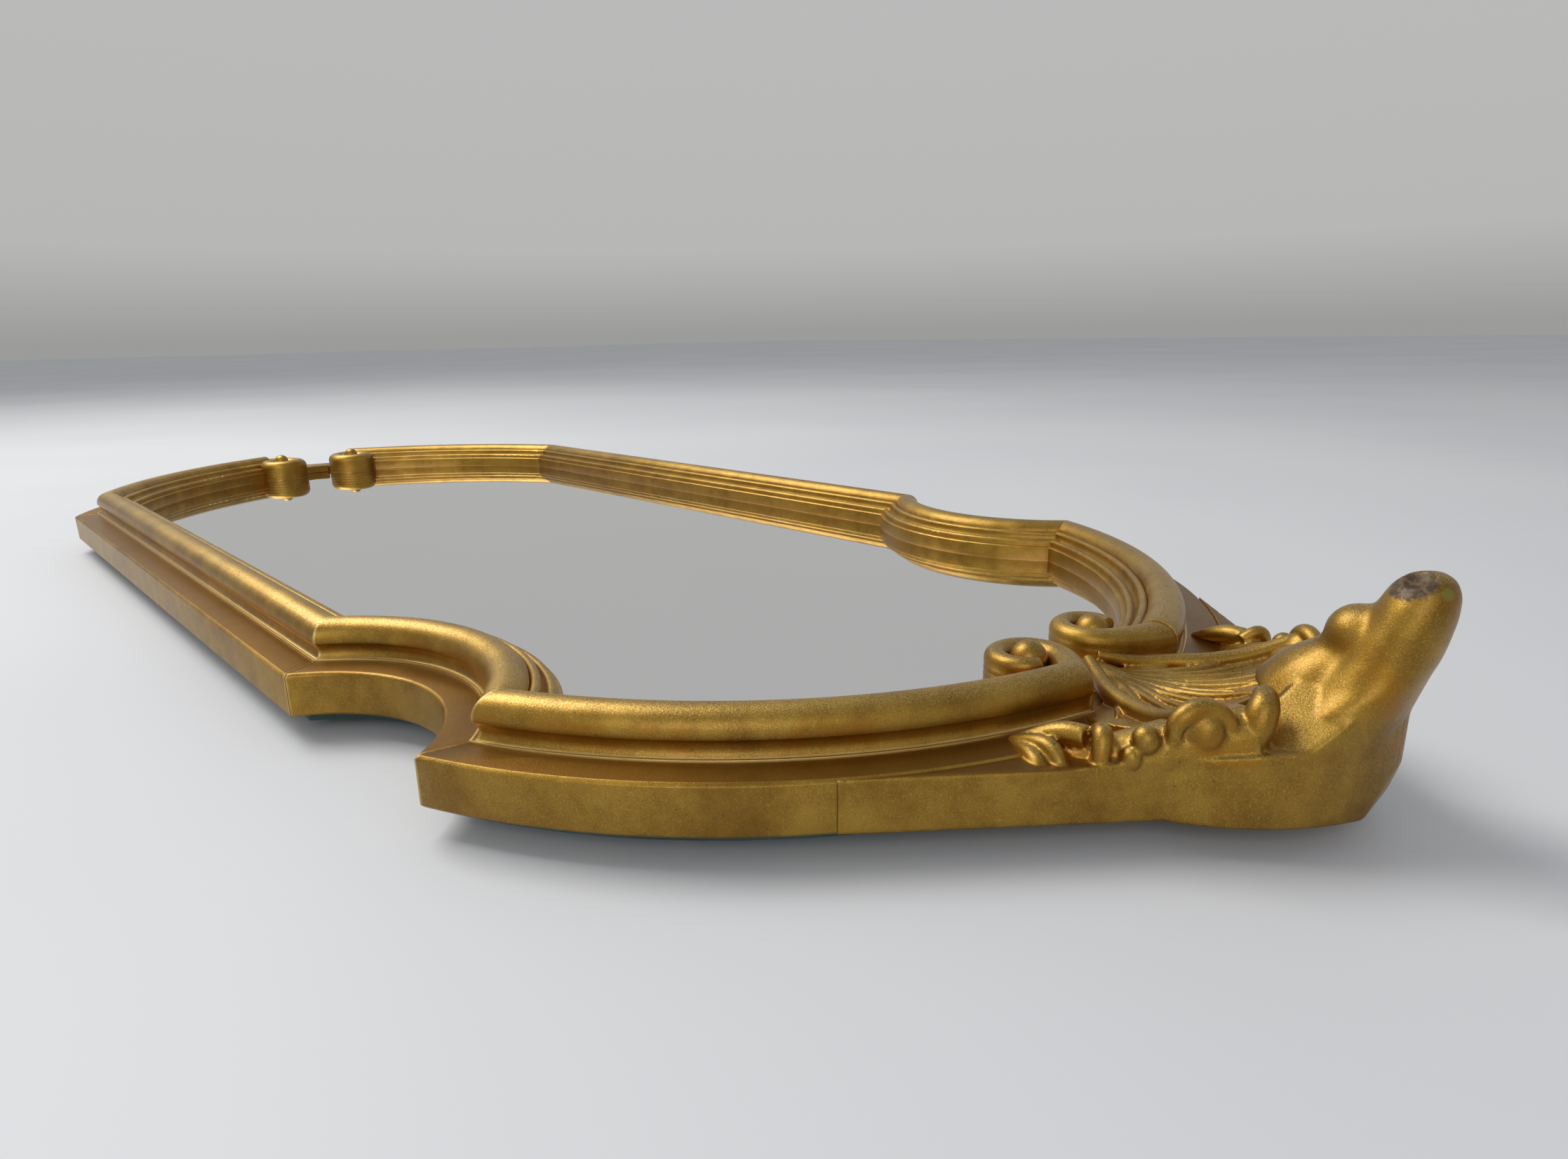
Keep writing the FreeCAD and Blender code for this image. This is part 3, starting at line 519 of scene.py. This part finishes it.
# %% Model the leaf's folded tip and its small rounds
ruffles = [
    tube([(-43.6, -243.6, 17.0), (-46.0, -248.8, 17.8), (-48.6, -253.0, 17.2),
          (-50.0, -255.2, 14.6)], [0.5, 1.7, 2.0, 1.2]),
    tube([(-43.8, -243.8, 17.6), (-44.4, -249.6, 19.4), (-45.4, -254.6, 19.4),
          (-47.0, -257.6, 15.0)], [0.6, 1.7, 1.9, 1.2]),
    tube([(-43.4, -243.6, 17.4), (-41.4, -249.0, 19.2), (-40.2, -253.4, 20.8),
          (-39.6, -257.6, 21.0)], [0.6, 2.1, 2.5, 2.3]),
    tube([(-44.4, -246.0, 15.4), (-45.0, -251.0, 16.2), (-44.8, -256.4, 15.6)],
         [1.6, 3.2, 2.8]),
    tube([(-36.6, -258.0, 21.0), (-39.2, -260.6, 23.6), (-41.4, -261.6, 20.8),
          (-41.8, -261.4, 14.6)], [1.6, 2.0, 1.9, 1.6]),
    ball((-38.2, -265.8, 18.8), (2.0, 2.0, 2.4)),
    ball((-36.2, -267.4, 22.4), (2.6, 2.6, 2.8)),
]

# %% Model the arched scroll, the large lobe and the bank
ruffles += [
    tube([(-32.6, -271.0, 17.0), (-33.0, -270.6, 24.2), (-31.6, -271.8, 26.8),
          (-29.0, -274.0, 28.6), (-26.4, -276.8, 27.4), (-25.6, -278.8, 23.6),
          (-25.4, -279.2, 18.0)], [1.5, 1.5, 2.3, 2.1, 1.8, 1.7, 1.7]),
    ball((-28.8, -273.8, 23.8), (3.4, 4.6, 4.6)),
    tube([(-29.4, -275.8, 21.0), (-26.6, -278.2, 21.0)], [1.5, 1.5]),
    tube([(-17.6, -280.6, 29.6), (-20.2, -281.8, 29.2), (-22.2, -281.8, 26.0),
          (-22.8, -280.8, 20.0)], [2.0, 2.7, 3.0, 2.6]),
]
bank = tube([(-43.0, -250.0, 14.4), (-39.4, -257.0, 15.8), (-34.2, -263.8, 17.6),
             (-27.8, -271.4, 20.0), (-20.4, -279.4, 21.6)], [2.4, 3.8, 4.8, 5.8, 6.2])

# %% Mirror the leaf and melt both onto the block
leaf = joined("leaf", ruffles + [bank])
block = melted("crest_block_carved", [rough, leaf, mirrored(leaf, "leaf_right")], 0.5, 3)
settled(block, "gilt_crest", ["crest_base", "crest_horn", "crest_leaf_left",
                              "crest_leaf_right"])

# %% [markdown]
# ### The shell
#
# Between the volutes and the nose lies a hollow shell with fine ribs that sweep outwards
# from its root, and a thicker rolled edge on either side.  Its bowl is an oval block with
# a large ball cut out of its sloping top.  The ribs and the rolled edges lie in the bowl.

# %% Hollow out the bowl
BOWL_Y, BOWL_Z, BOWL_DEPTH = -261, 18, 30
BOWL_REACH = (30, 18.6, 1)
BOWL_TOP = (0, -262, 21.8), (0, 0.32, 1)
BOWL_INNER = (0, -243.0, 0), (0, 1, 0)
BOWL_FOOT = (0, 0, 14.6), (0, 0, -1)
SCOOP, SCOOP_REACH = (0, -248.0, 30.0), (60.0, 31.0, 12.0)

bpy.ops.object.select_all(action="DESELECT")
bpy.ops.mesh.primitive_cylinder_add(vertices=96, radius=MM, depth=BOWL_DEPTH * MM,
                                    location=(0, BOWL_Y * MM, BOWL_Z * MM),
                                    scale=BOWL_REACH)
bowl = joined("bowl", [bpy.context.view_layer.objects.active])
for point, normal in (BOWL_TOP, BOWL_INNER, BOWL_FOOT):
    cut_by(bowl, point, normal)
scoop = joined("scoop", [ball(SCOOP, SCOOP_REACH)])
applied(bowl, "BOOLEAN", operation="DIFFERENCE", object=scoop)
bpy.data.objects.remove(scoop)
tongue = tube([(-1.5, -233.0, 18.8), (-0.8, -240.0, 17.4), (0, -247.0, 14.6)],
              [2.2, 4.0, 5.0])

# %% A fine rib that lies in the bowl
ROOT_Y, PROUD = -240.0, 0.30


def bowl_level(x, y):
    """The height of the bowl's hollow at a place, in mm."""
    inside = 1 - (x / SCOOP_REACH[0]) ** 2 - ((y - SCOOP[1]) / SCOOP_REACH[1]) ** 2
    return SCOOP[2] - SCOOP_REACH[2] * math.sqrt(max(0.01, inside))


def rib(heading, reach, girth):
    """A fine rib that leaves the root, turns outwards and lies on the bowl."""
    across, ahead = math.sin(math.radians(heading)), math.cos(math.radians(heading))
    points = []
    for share in (0, 0.2, 0.4, 0.6, 0.8, 1.0):
        x = across * reach * share * (0.45 + 0.55 * share)
        y = ROOT_Y - ahead * reach * share
        points.append((x, y, bowl_level(x, y) + PROUD))
    return tube(points, [girth * swell for swell in (0.8, 1.0, 1.15, 1.05, 0.8, 0.35)], 4)


# %% Lay the ribs and the rolled edges
FAN_STEP = 9.4
# Each station of a rolled edge: x and y, and its lift above the bowl, in mm.
ROLLED_EDGE = [(2.0, -238.0, 3.0), (7.0, -243.4, 1.6), (13.4, -249.0, 1.0),
               (20.0, -258.6, 0.5), (26.6, -267.0, 0.4), (30.6, -272.6, 0.4)]

ribs = []
for number in range(-6, 7):
    ribs.append(rib(number * FAN_STEP, 30.0 + 3.0 * (number % 3),
                    0.95 + 0.15 * (number % 2)))
for side in (-1, 1):
    ribs.append(tube([(side * x, y, bowl_level(x, y) + lift)
                      for x, y, lift in ROLLED_EDGE], [1.3, 1.8, 2.1, 2.2, 2.2, 1.9]))
shell = melted("crest_shell_carved", [bowl, tongue] + ribs, 0.42, 2)
settled(shell, "gilt_crest", ["crest_fan", "crest_ribs"])

# %% [markdown]
# ## The bridge between the bottom volutes
#
# A low piece closes the sight edge behind the two closed volutes.  The copy of the CAD
# piece is wedge-shaped already and only needs softer edges.

# %% Soften the bridge
settled(eased_copy("far_bridge", "far_bridge_eased", 0.4), "gilt_scroll", ["far_bridge"])

# %% [markdown]
# ## Felt pads
#
# Felt pads keep the back off the wall.  Each is a punched disc: a short cylinder with a
# bevelled rim, at the place of its CAD solid.

# %% Find the pads
def pad_centres():
    """The middle of each pad, found from the loose solids of the CAD node."""
    pieces = merged_copy("felt_pads", "pads_to_count")
    edit(pieces)
    bpy.ops.mesh.separate(type="LOOSE")
    leave()
    found = []
    for piece in list(bpy.context.selected_objects):
        corners = [Vector(corner) for corner in piece.bound_box]
        found.append(sum(corners, Vector()) / len(corners))
        bpy.data.objects.remove(piece)
    return found


# %% Punch the pads
PAD_RADIUS, PAD_ROUND = 5.9, 0.5
pad_low, pad_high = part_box("felt_pads")
pad_height = pad_high.z - pad_low.z
discs = []
for centre in pad_centres():
    bpy.ops.object.select_all(action="DESELECT")
    bpy.ops.mesh.primitive_cylinder_add(vertices=48, radius=PAD_RADIUS * MM,
                                        depth=pad_height, location=centre)
    disc = bpy.context.view_layer.objects.active
    discs.append(applied(disc, "BEVEL", width=PAD_ROUND * MM, segments=3,
                         limit_method="ANGLE", angle_limit=math.radians(40)))
felt = joined("felt_pads_punched", discs)
settled(smooth(felt, 40), "felt", ["felt_pads"])
print(len(discs), "pads")

# %% [markdown]
# ## Hangers
#
# A strap of plated steel is rolled round the bar of a ring.  The parts are so small that
# the straps need no more than soft edges, and the rings no more than smooth shading.

# %% Soften the straps and smooth the rings
STRAP_EASE, STRAP_SHARP = 0.12, 50
for side in SIDES:
    node = "hanger_strap_" + side
    settled(eased_copy(node, node + "_eased", STRAP_EASE, STRAP_SHARP), "plated_steel",
            [node])
    node = "hanger_ring_" + side
    ring = merged_copy(node, node + "_smooth")
    settled(smooth(ring, 60), "plated_steel", [node], "ring_" + side)

# %% [markdown]
# ## Writing shader maths as Python
#
# A wire is an output of a node.  Adding or multiplying wires adds Math nodes, so a mask
# reads like a formula.

# %% A wire with arithmetic, and one way to add any other node
class Wire:
    """An output socket; arithmetic on it adds Math nodes to its material."""

    def __init__(self, socket):
        self.socket = socket

    def maths(self, operation, first, second):
        return added(self.socket.id_data, "ShaderNodeMath", {"operation": operation},
                     {0: first, 1: second})

    def __add__(self, other):
        return self.maths("ADD", self, other)

    def __radd__(self, other):
        return self.maths("ADD", other, self)

    def __sub__(self, other):
        return self.maths("SUBTRACT", self, other)

    def __rsub__(self, other):
        return self.maths("SUBTRACT", other, self)

    def __mul__(self, other):
        return self.maths("MULTIPLY", self, other)

    def __rmul__(self, other):
        return self.maths("MULTIPLY", other, self)


def added(tree, kind, settings=None, sockets=None, out=0):
    """A new node: its settings first, then the values or wires of its sockets."""
    node = tree.nodes.new(kind)
    for key, value in (settings or {}).items():
        if key == "stops":
            ramp = node.color_ramp
            while len(ramp.elements) < len(value):
                ramp.elements.new(1.0)
            for element, (place, colour) in zip(ramp.elements, value):
                element.position = place
                element.color = colour
        else:
            setattr(node, key, value)
    for key, value in (sockets or {}).items():
        if isinstance(value, Wire):
            tree.links.new(value.socket, node.inputs[key])
        else:
            node.inputs[key].default_value = value
    return Wire(node.outputs[out])


# %% The nodes that several finishes share
OBJECT_PLACE, OBJECT_NORMAL = 3, 1


class Finish:
    """A material under construction, with the few nodes that gilding needs."""

    def __init__(self, name):
        self.material = bpy.data.materials.new(name)
        self.material.use_nodes = True
        self.tree = self.material.node_tree
        self.shader = self.tree.nodes["Principled BSDF"]
        self.place = self.node("ShaderNodeTexCoord", out=OBJECT_PLACE)
        self.facing = self.node("ShaderNodeTexCoord", out=OBJECT_NORMAL)

    def node(self, kind, settings=None, sockets=None, out=0):
        return added(self.tree, kind, settings, sockets, out)

    def noise(self, size, detail=3.0, roughness=0.55, stretch=None):
        """A noise whose blotches are about this many millimetres across."""
        where = self.place
        if stretch:
            where = self.node("ShaderNodeMapping", None, {0: self.place, 3: stretch})
        return self.node("ShaderNodeTexNoise", None,
                         {"Vector": where, "Scale": 1 / (size * MM), "Detail": detail,
                          "Roughness": roughness})

    def step(self, value, low, high):
        """0 below low and 1 above high, smoothly."""
        return self.node("ShaderNodeMapRange",
                         {"interpolation_type": "SMOOTHSTEP", "clamp": True},
                         {0: value, 1: low, 2: high})

    def mix(self, share, first, second):
        """The first colour at share 0, the second at share 1."""
        return self.node("ShaderNodeMix", {"data_type": "RGBA"},
                         {0: share, 6: first, 7: second}, 2)

    def hidden(self, reach, inside=False):
        """How closed in a spot is, 0 to 1; inside it finds convex edges instead."""
        open_share = self.node("ShaderNodeAmbientOcclusion",
                               {"samples": 6, "inside": inside, "only_local": inside},
                               {1: reach * MM}, 1)
        return 1 - open_share

    def bump(self, height, depth, strength):
        """A normal that follows a height, with a depth in mm."""
        return self.node("ShaderNodeBump", None,
                         {"Strength": strength, "Distance": depth * MM, "Height": height})

    def end(self, **inputs):
        """Wires and values for the shader's sockets, by name with _ for a space."""
        for key, value in inputs.items():
            socket = self.shader.inputs[key.replace("_", " ")]
            if isinstance(value, Wire):
                self.tree.links.new(value.socket, socket)
            else:
                socket.default_value = value
        return self.material


# %% Paint pieces, found by their slot
def paint(material, pieces):
    """One finish over the whole of each piece."""
    for piece in pieces:
        piece.data.materials.clear()
        piece.data.materials.append(material)
        for face in piece.data.polygons:
            face.material_index = 0


def carrying(slot):
    """The new pieces that take their finish from a slot."""
    return [one for one in bpy.data.objects if one.get("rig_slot") == slot]


# %% [markdown]
# ## Aged gilding
#
# The frame has bronze-gold paint with a grain of metal flakes.  Where hands and dusters
# reach, its convex edges are rubbed pale, and the tops above the ledge are made paler too,
# partly as wear and partly as a painted highlight.  In the recesses an orange-brown lacquer
# has gathered; the steep sides take the same orange-brown, partly as lacquer and partly as
# painted shade.  Dull green-brown grime lies in patches, and the flat ledges are stained
# darker.  The masks are noise, the height and the slope of a spot, and ambient occlusion:
# closed-in places take lacquer, and convex edges take wear.

# %% Mix the gilding
GOLD = (0.385, 0.222, 0.030, 1)
GOLD_DEEP = (0.205, 0.104, 0.010, 1)
GOLD_PALE = (0.72, 0.525, 0.185, 1)
LACQUER = (0.38, 0.148, 0.006, 1)
AMBER = (0.165, 0.070, 0.004, 1)
GRIME = (0.075, 0.066, 0.026, 1)


def gilding(name, lacquer, grime, pale, ledge=0.0, edge_reach=0.7, worn_spot=False):
    """A gilt finish; the shares of lacquer and painted side shade, grime, wear and ledge
    stain differ by piece.
    """
    finish = Finish(name)
    # Noise from broad patches to single flakes, and how closed in or convex a spot is.
    patch = finish.noise(16, 4)
    streak = finish.noise(5, 5, 0.6)
    grain = finish.noise(0.32, 3, 0.7)
    flake = finish.noise(0.20, 1)
    closed = finish.step(finish.hidden(6.0), 0.28, 0.80)
    edge = finish.step(finish.hidden(edge_reach, True) + 0.40 * streak, 0.40, 0.66)
    # Two golds, with pale flakes, amber stains and small dark pits.
    tone = finish.mix(finish.step(0.5 * patch + 0.3 * streak + 0.2 * grain, 0.32, 0.66),
                      GOLD_DEEP, GOLD)
    tone = finish.mix(0.28 * finish.step(grain, 0.50, 0.74), tone, GOLD_PALE)
    upright = finish.node("ShaderNodeSeparateXYZ", None, {0: finish.facing}, 2)
    stain = finish.step(finish.noise(26, 5, 0.62), 0.50, 0.66)
    tone = finish.mix(0.45 * stain, tone, AMBER)
    pits = finish.step(finish.noise(1.5, 3, 0.6), 0.68, 0.73)
    # The flat of the ledge is stained, and what rises above it is paler on top: partly
    # rubbed wear, partly a painted highlight where light falls from above.
    above = finish.node("ShaderNodeSeparateXYZ", None, {0: finish.place}, 2)
    low = 1 - finish.step(above, (LEDGE + 0.3) * MM, (LEDGE + 1.6) * MM)
    level = finish.step(upright, 0.86, 0.97) * low * (0.55 + 0.7 * patch)
    tone = finish.mix(ledge * level, tone, AMBER)
    raised = 1 - low
    # Upward-facing tops above the ledge get pale gold: part wear, part painted highlight.
    worn_and_highlit_top = finish.step(upright, 0.55, 0.98) * raised * finish.step(grain, 0.36, 0.62)
    tone = finish.mix(0.42 * worn_and_highlit_top, tone, GOLD_PALE)
    # Orange-brown on steep sides, partly lacquer and partly painted shade; lacquer in
    # recesses, grime in patches, and wear on the edges.
    steep_side_lacquer_and_shade = (1 - finish.step(upright, 0.05, 0.55)) * finish.step(
        finish.noise(13, 5, 0.62), 0.44, 0.62)
    tone = finish.mix(0.60 * lacquer * raised * steep_side_lacquer_and_shade, tone, LACQUER)
    pooled = finish.step(closed * (0.55 + 0.9 * patch), 0.15, 0.62)
    tone = finish.mix(lacquer * pooled, tone, LACQUER)
    dirt = finish.step(finish.noise(7, 6, 0.65), 0.60, 0.74) * (0.35 + 0.65 * closed)
    tone = finish.mix(grime * dirt, tone, GRIME)
    tone = finish.mix(0.55 * pits, tone, GRIME)
    tone = finish.mix(pale * edge, tone, GOLD_PALE)
    # Lacquer is glossier than bare paint, grime is duller, and both are less metallic.
    rough = 0.42 - 0.12 * grain + 0.22 * dirt - 0.14 * lacquer * pooled + 0.12 * patch
    metal = 0.96 - 0.45 * grime * dirt - 0.25 * lacquer * pooled
    if worn_spot:
        tone, rough, metal = worn_tip(finish, tone, rough, metal)
    relief = 0.6 * grain + 0.25 * flake + 0.5 * streak
    return finish.end(Base_Color=tone, Roughness=rough, Metallic=metal,
                      Coat_Weight=0.20 + 0.34 * pooled, Coat_Roughness=0.26,
                      Normal=finish.bump(relief, 0.16, 0.60))


# %% The bare hollow on the tip of the nose
PLUM = (0.050, 0.028, 0.021, 1)
RUBBED = (0.150, 0.095, 0.045, 1)
VERDIGRIS = (0.25, 0.28, 0.06, 1)
TIP = (-3.0 * MM, -298.0 * MM, 50.8 * MM)
SPOT = (-3.4 * MM, -303.2 * MM, 49.9 * MM)
RAGGED = 0.004


def worn_tip(finish, tone, rough, metal):
    """Plum-brown patina in the hollow, with one spot of green in it."""
    away = finish.node("ShaderNodeVectorMath", {"operation": "DISTANCE"},
                       {0: finish.place, 1: TIP}, 1)
    ragged = away + RAGGED * finish.noise(2.0, 5, 0.7)
    bare = 1 - finish.step(ragged, 5.6 * MM, 6.4 * MM)
    blotch = finish.mix(finish.step(finish.noise(1.1, 4), 0.42, 0.62), PLUM, RUBBED)
    spot = finish.node("ShaderNodeVectorMath", {"operation": "DISTANCE"},
                       {0: finish.place, 1: SPOT}, 1)
    green = 1 - finish.step(spot, 0.8 * MM, 1.5 * MM)
    tone = finish.mix(0.92 * bare, tone, blotch)
    tone = finish.mix(0.60 * green, tone, VERDIGRIS)
    return tone, rough + 0.14 * bare, metal - 0.55 * bare


# %% Gild the carved and the planed pieces
paint(gilding("gilt_rail_paint", 0.55, 0.60, 0.75, ledge=0.85), carrying("gilt_rail"))
paint(gilding("gilt_moulding_paint", 0.80, 0.40, 0.55), carrying("gilt_moulding"))
paint(gilding("gilt_scroll_paint", 0.70, 0.30, 0.60), carrying("gilt_scroll"))
paint(gilding("gilt_crest_paint", 1.0, 0.50, 0.45, 0.85, edge_reach=0.22, worn_spot=True),
      carrying("gilt_crest"))

# %% [markdown]
# ## The silvered glass
#
# A plate mirror is a smooth metal surface.  Its silver has grey specks where damp has
# reached it, mostly in loose groups, and the specks are duller than the rest.

# %% Silver the glass
silver = Finish("silvered_glass_plate")
group = silver.step(silver.noise(38, 3), 0.47, 0.62)
speck = silver.step(silver.noise(2.4, 5, 0.7), 0.62, 0.72) * group
haze = silver.step(silver.noise(60, 4), 0.35, 0.75)
face = silver.mix(0.10 * haze, (0.80, 0.81, 0.80, 1), (0.70, 0.71, 0.70, 1))
face = silver.mix(0.45 * speck, face, (0.34, 0.34, 0.31, 1))
paint(silver.end(Base_Color=face, Metallic=1.0 - 0.25 * speck,
                 Roughness=0.018 + 0.16 * speck + 0.012 * haze,
                 Normal=silver.bump(silver.noise(160, 1), 0.02, 0.3)),
      [frame["nodes"]["mirror_glass"]])

# %% [markdown]
# ## The back
#
# The backboard is hardboard painted dull green.  It shows its fibres and the scuffs of
# years.  The card behind the glass and the dowels in the crest are closed in, so they have
# plain finishes.

# %% Paint the backboard
board = Finish("green_board_paint")
fibre = board.noise(1.2, 5, 0.65, (1, 0.25, 1))
scuff = board.step(board.noise(9, 6, 0.7), 0.60, 0.72)
green = board.mix(board.step(board.noise(30, 4), 0.35, 0.68), (0.018, 0.050, 0.042, 1),
                  (0.030, 0.080, 0.066, 1))
green = board.mix(0.30 * board.step(fibre, 0.45, 0.70), green, (0.060, 0.105, 0.085, 1))
green = board.mix(0.35 * scuff, green, (0.16, 0.15, 0.11, 1))
paint(board.end(Base_Color=green, Roughness=0.62 + 0.22 * fibre,
                Normal=board.bump(fibre, 0.12, 0.5)), [frame["nodes"]["backboard"]])

# %% Card and felt
card = Finish("packing_card_kraft")
flute = card.noise(2.5, 3, 0.5, (0.2, 1, 1))
kraft = card.mix(card.step(flute, 0.35, 0.65), (0.30, 0.20, 0.11, 1), (0.42, 0.30, 0.17, 1))
paint(card.end(Base_Color=kraft, Roughness=0.82 + 0.10 * flute,
               Normal=card.bump(flute, 0.15, 0.5)), [frame["nodes"]["packing_card"]])

wool = Finish("felt_wool")
hair = wool.noise(0.5, 6, 0.75)
tuft = wool.noise(2.2, 4, 0.6)
paint(wool.end(Base_Color=wool.mix(wool.step(0.5 * hair + 0.5 * tuft, 0.38, 0.62),
                                   (0.020, 0.032, 0.026, 1), (0.055, 0.075, 0.062, 1)),
               Roughness=0.90 + 0.08 * hair, Sheen_Weight=0.35,
               Normal=wool.bump(hair, 0.30, 0.8)), carrying("felt"))

# %% Beech and steel
beech = Finish("bare_beech")
pore = beech.noise(0.8, 4, 0.6, (1, 0.08, 1))
paint(beech.end(Base_Color=beech.mix(beech.step(pore, 0.40, 0.66), (0.42, 0.26, 0.13, 1),
                                     (0.58, 0.40, 0.23, 1)),
                Roughness=0.58 + 0.15 * pore, Normal=beech.bump(pore, 0.10, 0.5)),
      [frame["nodes"]["crest_dowels"]])

steel = Finish("plated_steel_dull")
bloom = steel.noise(3.0, 5, 0.65)
rust = steel.step(steel.noise(1.6, 5, 0.7), 0.60, 0.72)
skin = steel.mix(steel.step(bloom, 0.38, 0.66), (0.52, 0.50, 0.45, 1),
                 (0.66, 0.65, 0.62, 1))
skin = steel.mix(0.5 * rust, skin, (0.17, 0.085, 0.040, 1))
paint(steel.end(Base_Color=skin, Metallic=1.0 - 0.6 * rust,
                Roughness=0.32 + 0.20 * bloom + 0.30 * rust,
                Normal=steel.bump(bloom, 0.05, 0.5)),
      carrying("plated_steel") + [frame["nodes"]["backboard_screws"],
                                  frame["nodes"]["hanger_screws"]])

# %% [markdown]
# ## Table, light and camera
#
# The mirror lies on a plain pale table under soft light.  One large panel hangs high
# beyond the bottom end, a weaker one fills from behind the camera, and the room is a pale
# sky that darkens a little towards the ground, so the gilding has something to reflect.

# %% Lay the table
bpy.ops.object.select_all(action="DESELECT")
bpy.ops.mesh.primitive_plane_add(size=14, location=(0, 0, 0))
table = bpy.context.view_layer.objects.active
table.name = "table"
top = Finish("pale_table")
sweep = top.noise(400, 2)
paint(top.end(Base_Color=top.mix(top.step(sweep, 0.3, 0.7), (0.60, 0.615, 0.64, 1),
                                 (0.64, 0.655, 0.675, 1)), Roughness=0.55), [table])

# %% Hang the lights
def panel(name, place, target, width, height, power, colour):
    """A soft rectangular light that faces a target; lengths are in metres."""
    light = bpy.data.lights.new(name, "AREA")
    light.shape = "RECTANGLE"
    light.size = width
    light.size_y = height
    light.energy = power
    light.color = colour
    holder = bpy.data.objects.new(name, light)
    bpy.context.scene.collection.objects.link(holder)
    holder.location = place
    holder.rotation_mode = "QUATERNION"
    holder.rotation_quaternion = (Vector(target) - Vector(place)).to_track_quat("-Z", "Y")


panel("window_panel", (-0.35, 0.75, 1.25), (0, -0.05, 0), 0.9, 0.9, 18, (1.0, 0.98, 0.95))
panel("fill_panel", (-1.1, -0.9, 0.7), (0, -0.1, 0), 0.8, 0.8, 5, (0.95, 0.97, 1.0))

# %% Light the room
ROOM_LEVEL = 0.72
world = bpy.data.worlds.new("room")
bpy.context.scene.world = world
world.use_nodes = True
room = world.node_tree
aim = added(room, "ShaderNodeTexCoord", out=0)
height = added(room, "ShaderNodeSeparateXYZ", None, {0: aim}, 2)
sky = added(room, "ShaderNodeValToRGB",
            {"stops": [(0.0, (0.46, 0.46, 0.45, 1)), (0.08, (0.66, 0.66, 0.65, 1)),
                       (0.45, (0.70, 0.70, 0.70, 1)), (1.0, (0.46, 0.48, 0.51, 1))]},
            {0: height})
room.links.new(sky.socket, room.nodes["Background"].inputs[0])
room.nodes["Background"].inputs[1].default_value = ROOM_LEVEL

# %% [markdown]
# The camera is low and close, on the left of the crest, and looks over the mirror
# diagonally.

# %% Place the camera
LENS = 21.08
STAND = (-0.19056, -0.33176, 0.09544)
YAW, PITCH, ROLL = 44.28, 15.13, 0.96
eye = bpy.data.cameras.new("camera")
eye.lens = LENS
eye.sensor_width = 36.0
eye.clip_start = 0.01
eye.clip_end = 50.0
camera = bpy.data.objects.new("camera", eye)
bpy.context.scene.collection.objects.link(camera)
yaw, pitch, roll = (math.radians(a) for a in (YAW, PITCH, ROLL))
ahead = Vector((math.sin(yaw) * math.cos(pitch), math.cos(yaw) * math.cos(pitch),
                -math.sin(pitch)))
right = Vector((math.cos(yaw), -math.sin(yaw), 0))
down = ahead.cross(right)
right_rolled = right * math.cos(roll) + down * math.sin(roll)
down_rolled = down * math.cos(roll) - right * math.sin(roll)
turn = Matrix((right_rolled, -down_rolled, -ahead)).transposed()
camera.matrix_world = Matrix.Translation(STAND) @ turn.to_4x4()
bpy.context.scene.camera = camera
bpy.context.scene.view_settings.view_transform = "Standard"
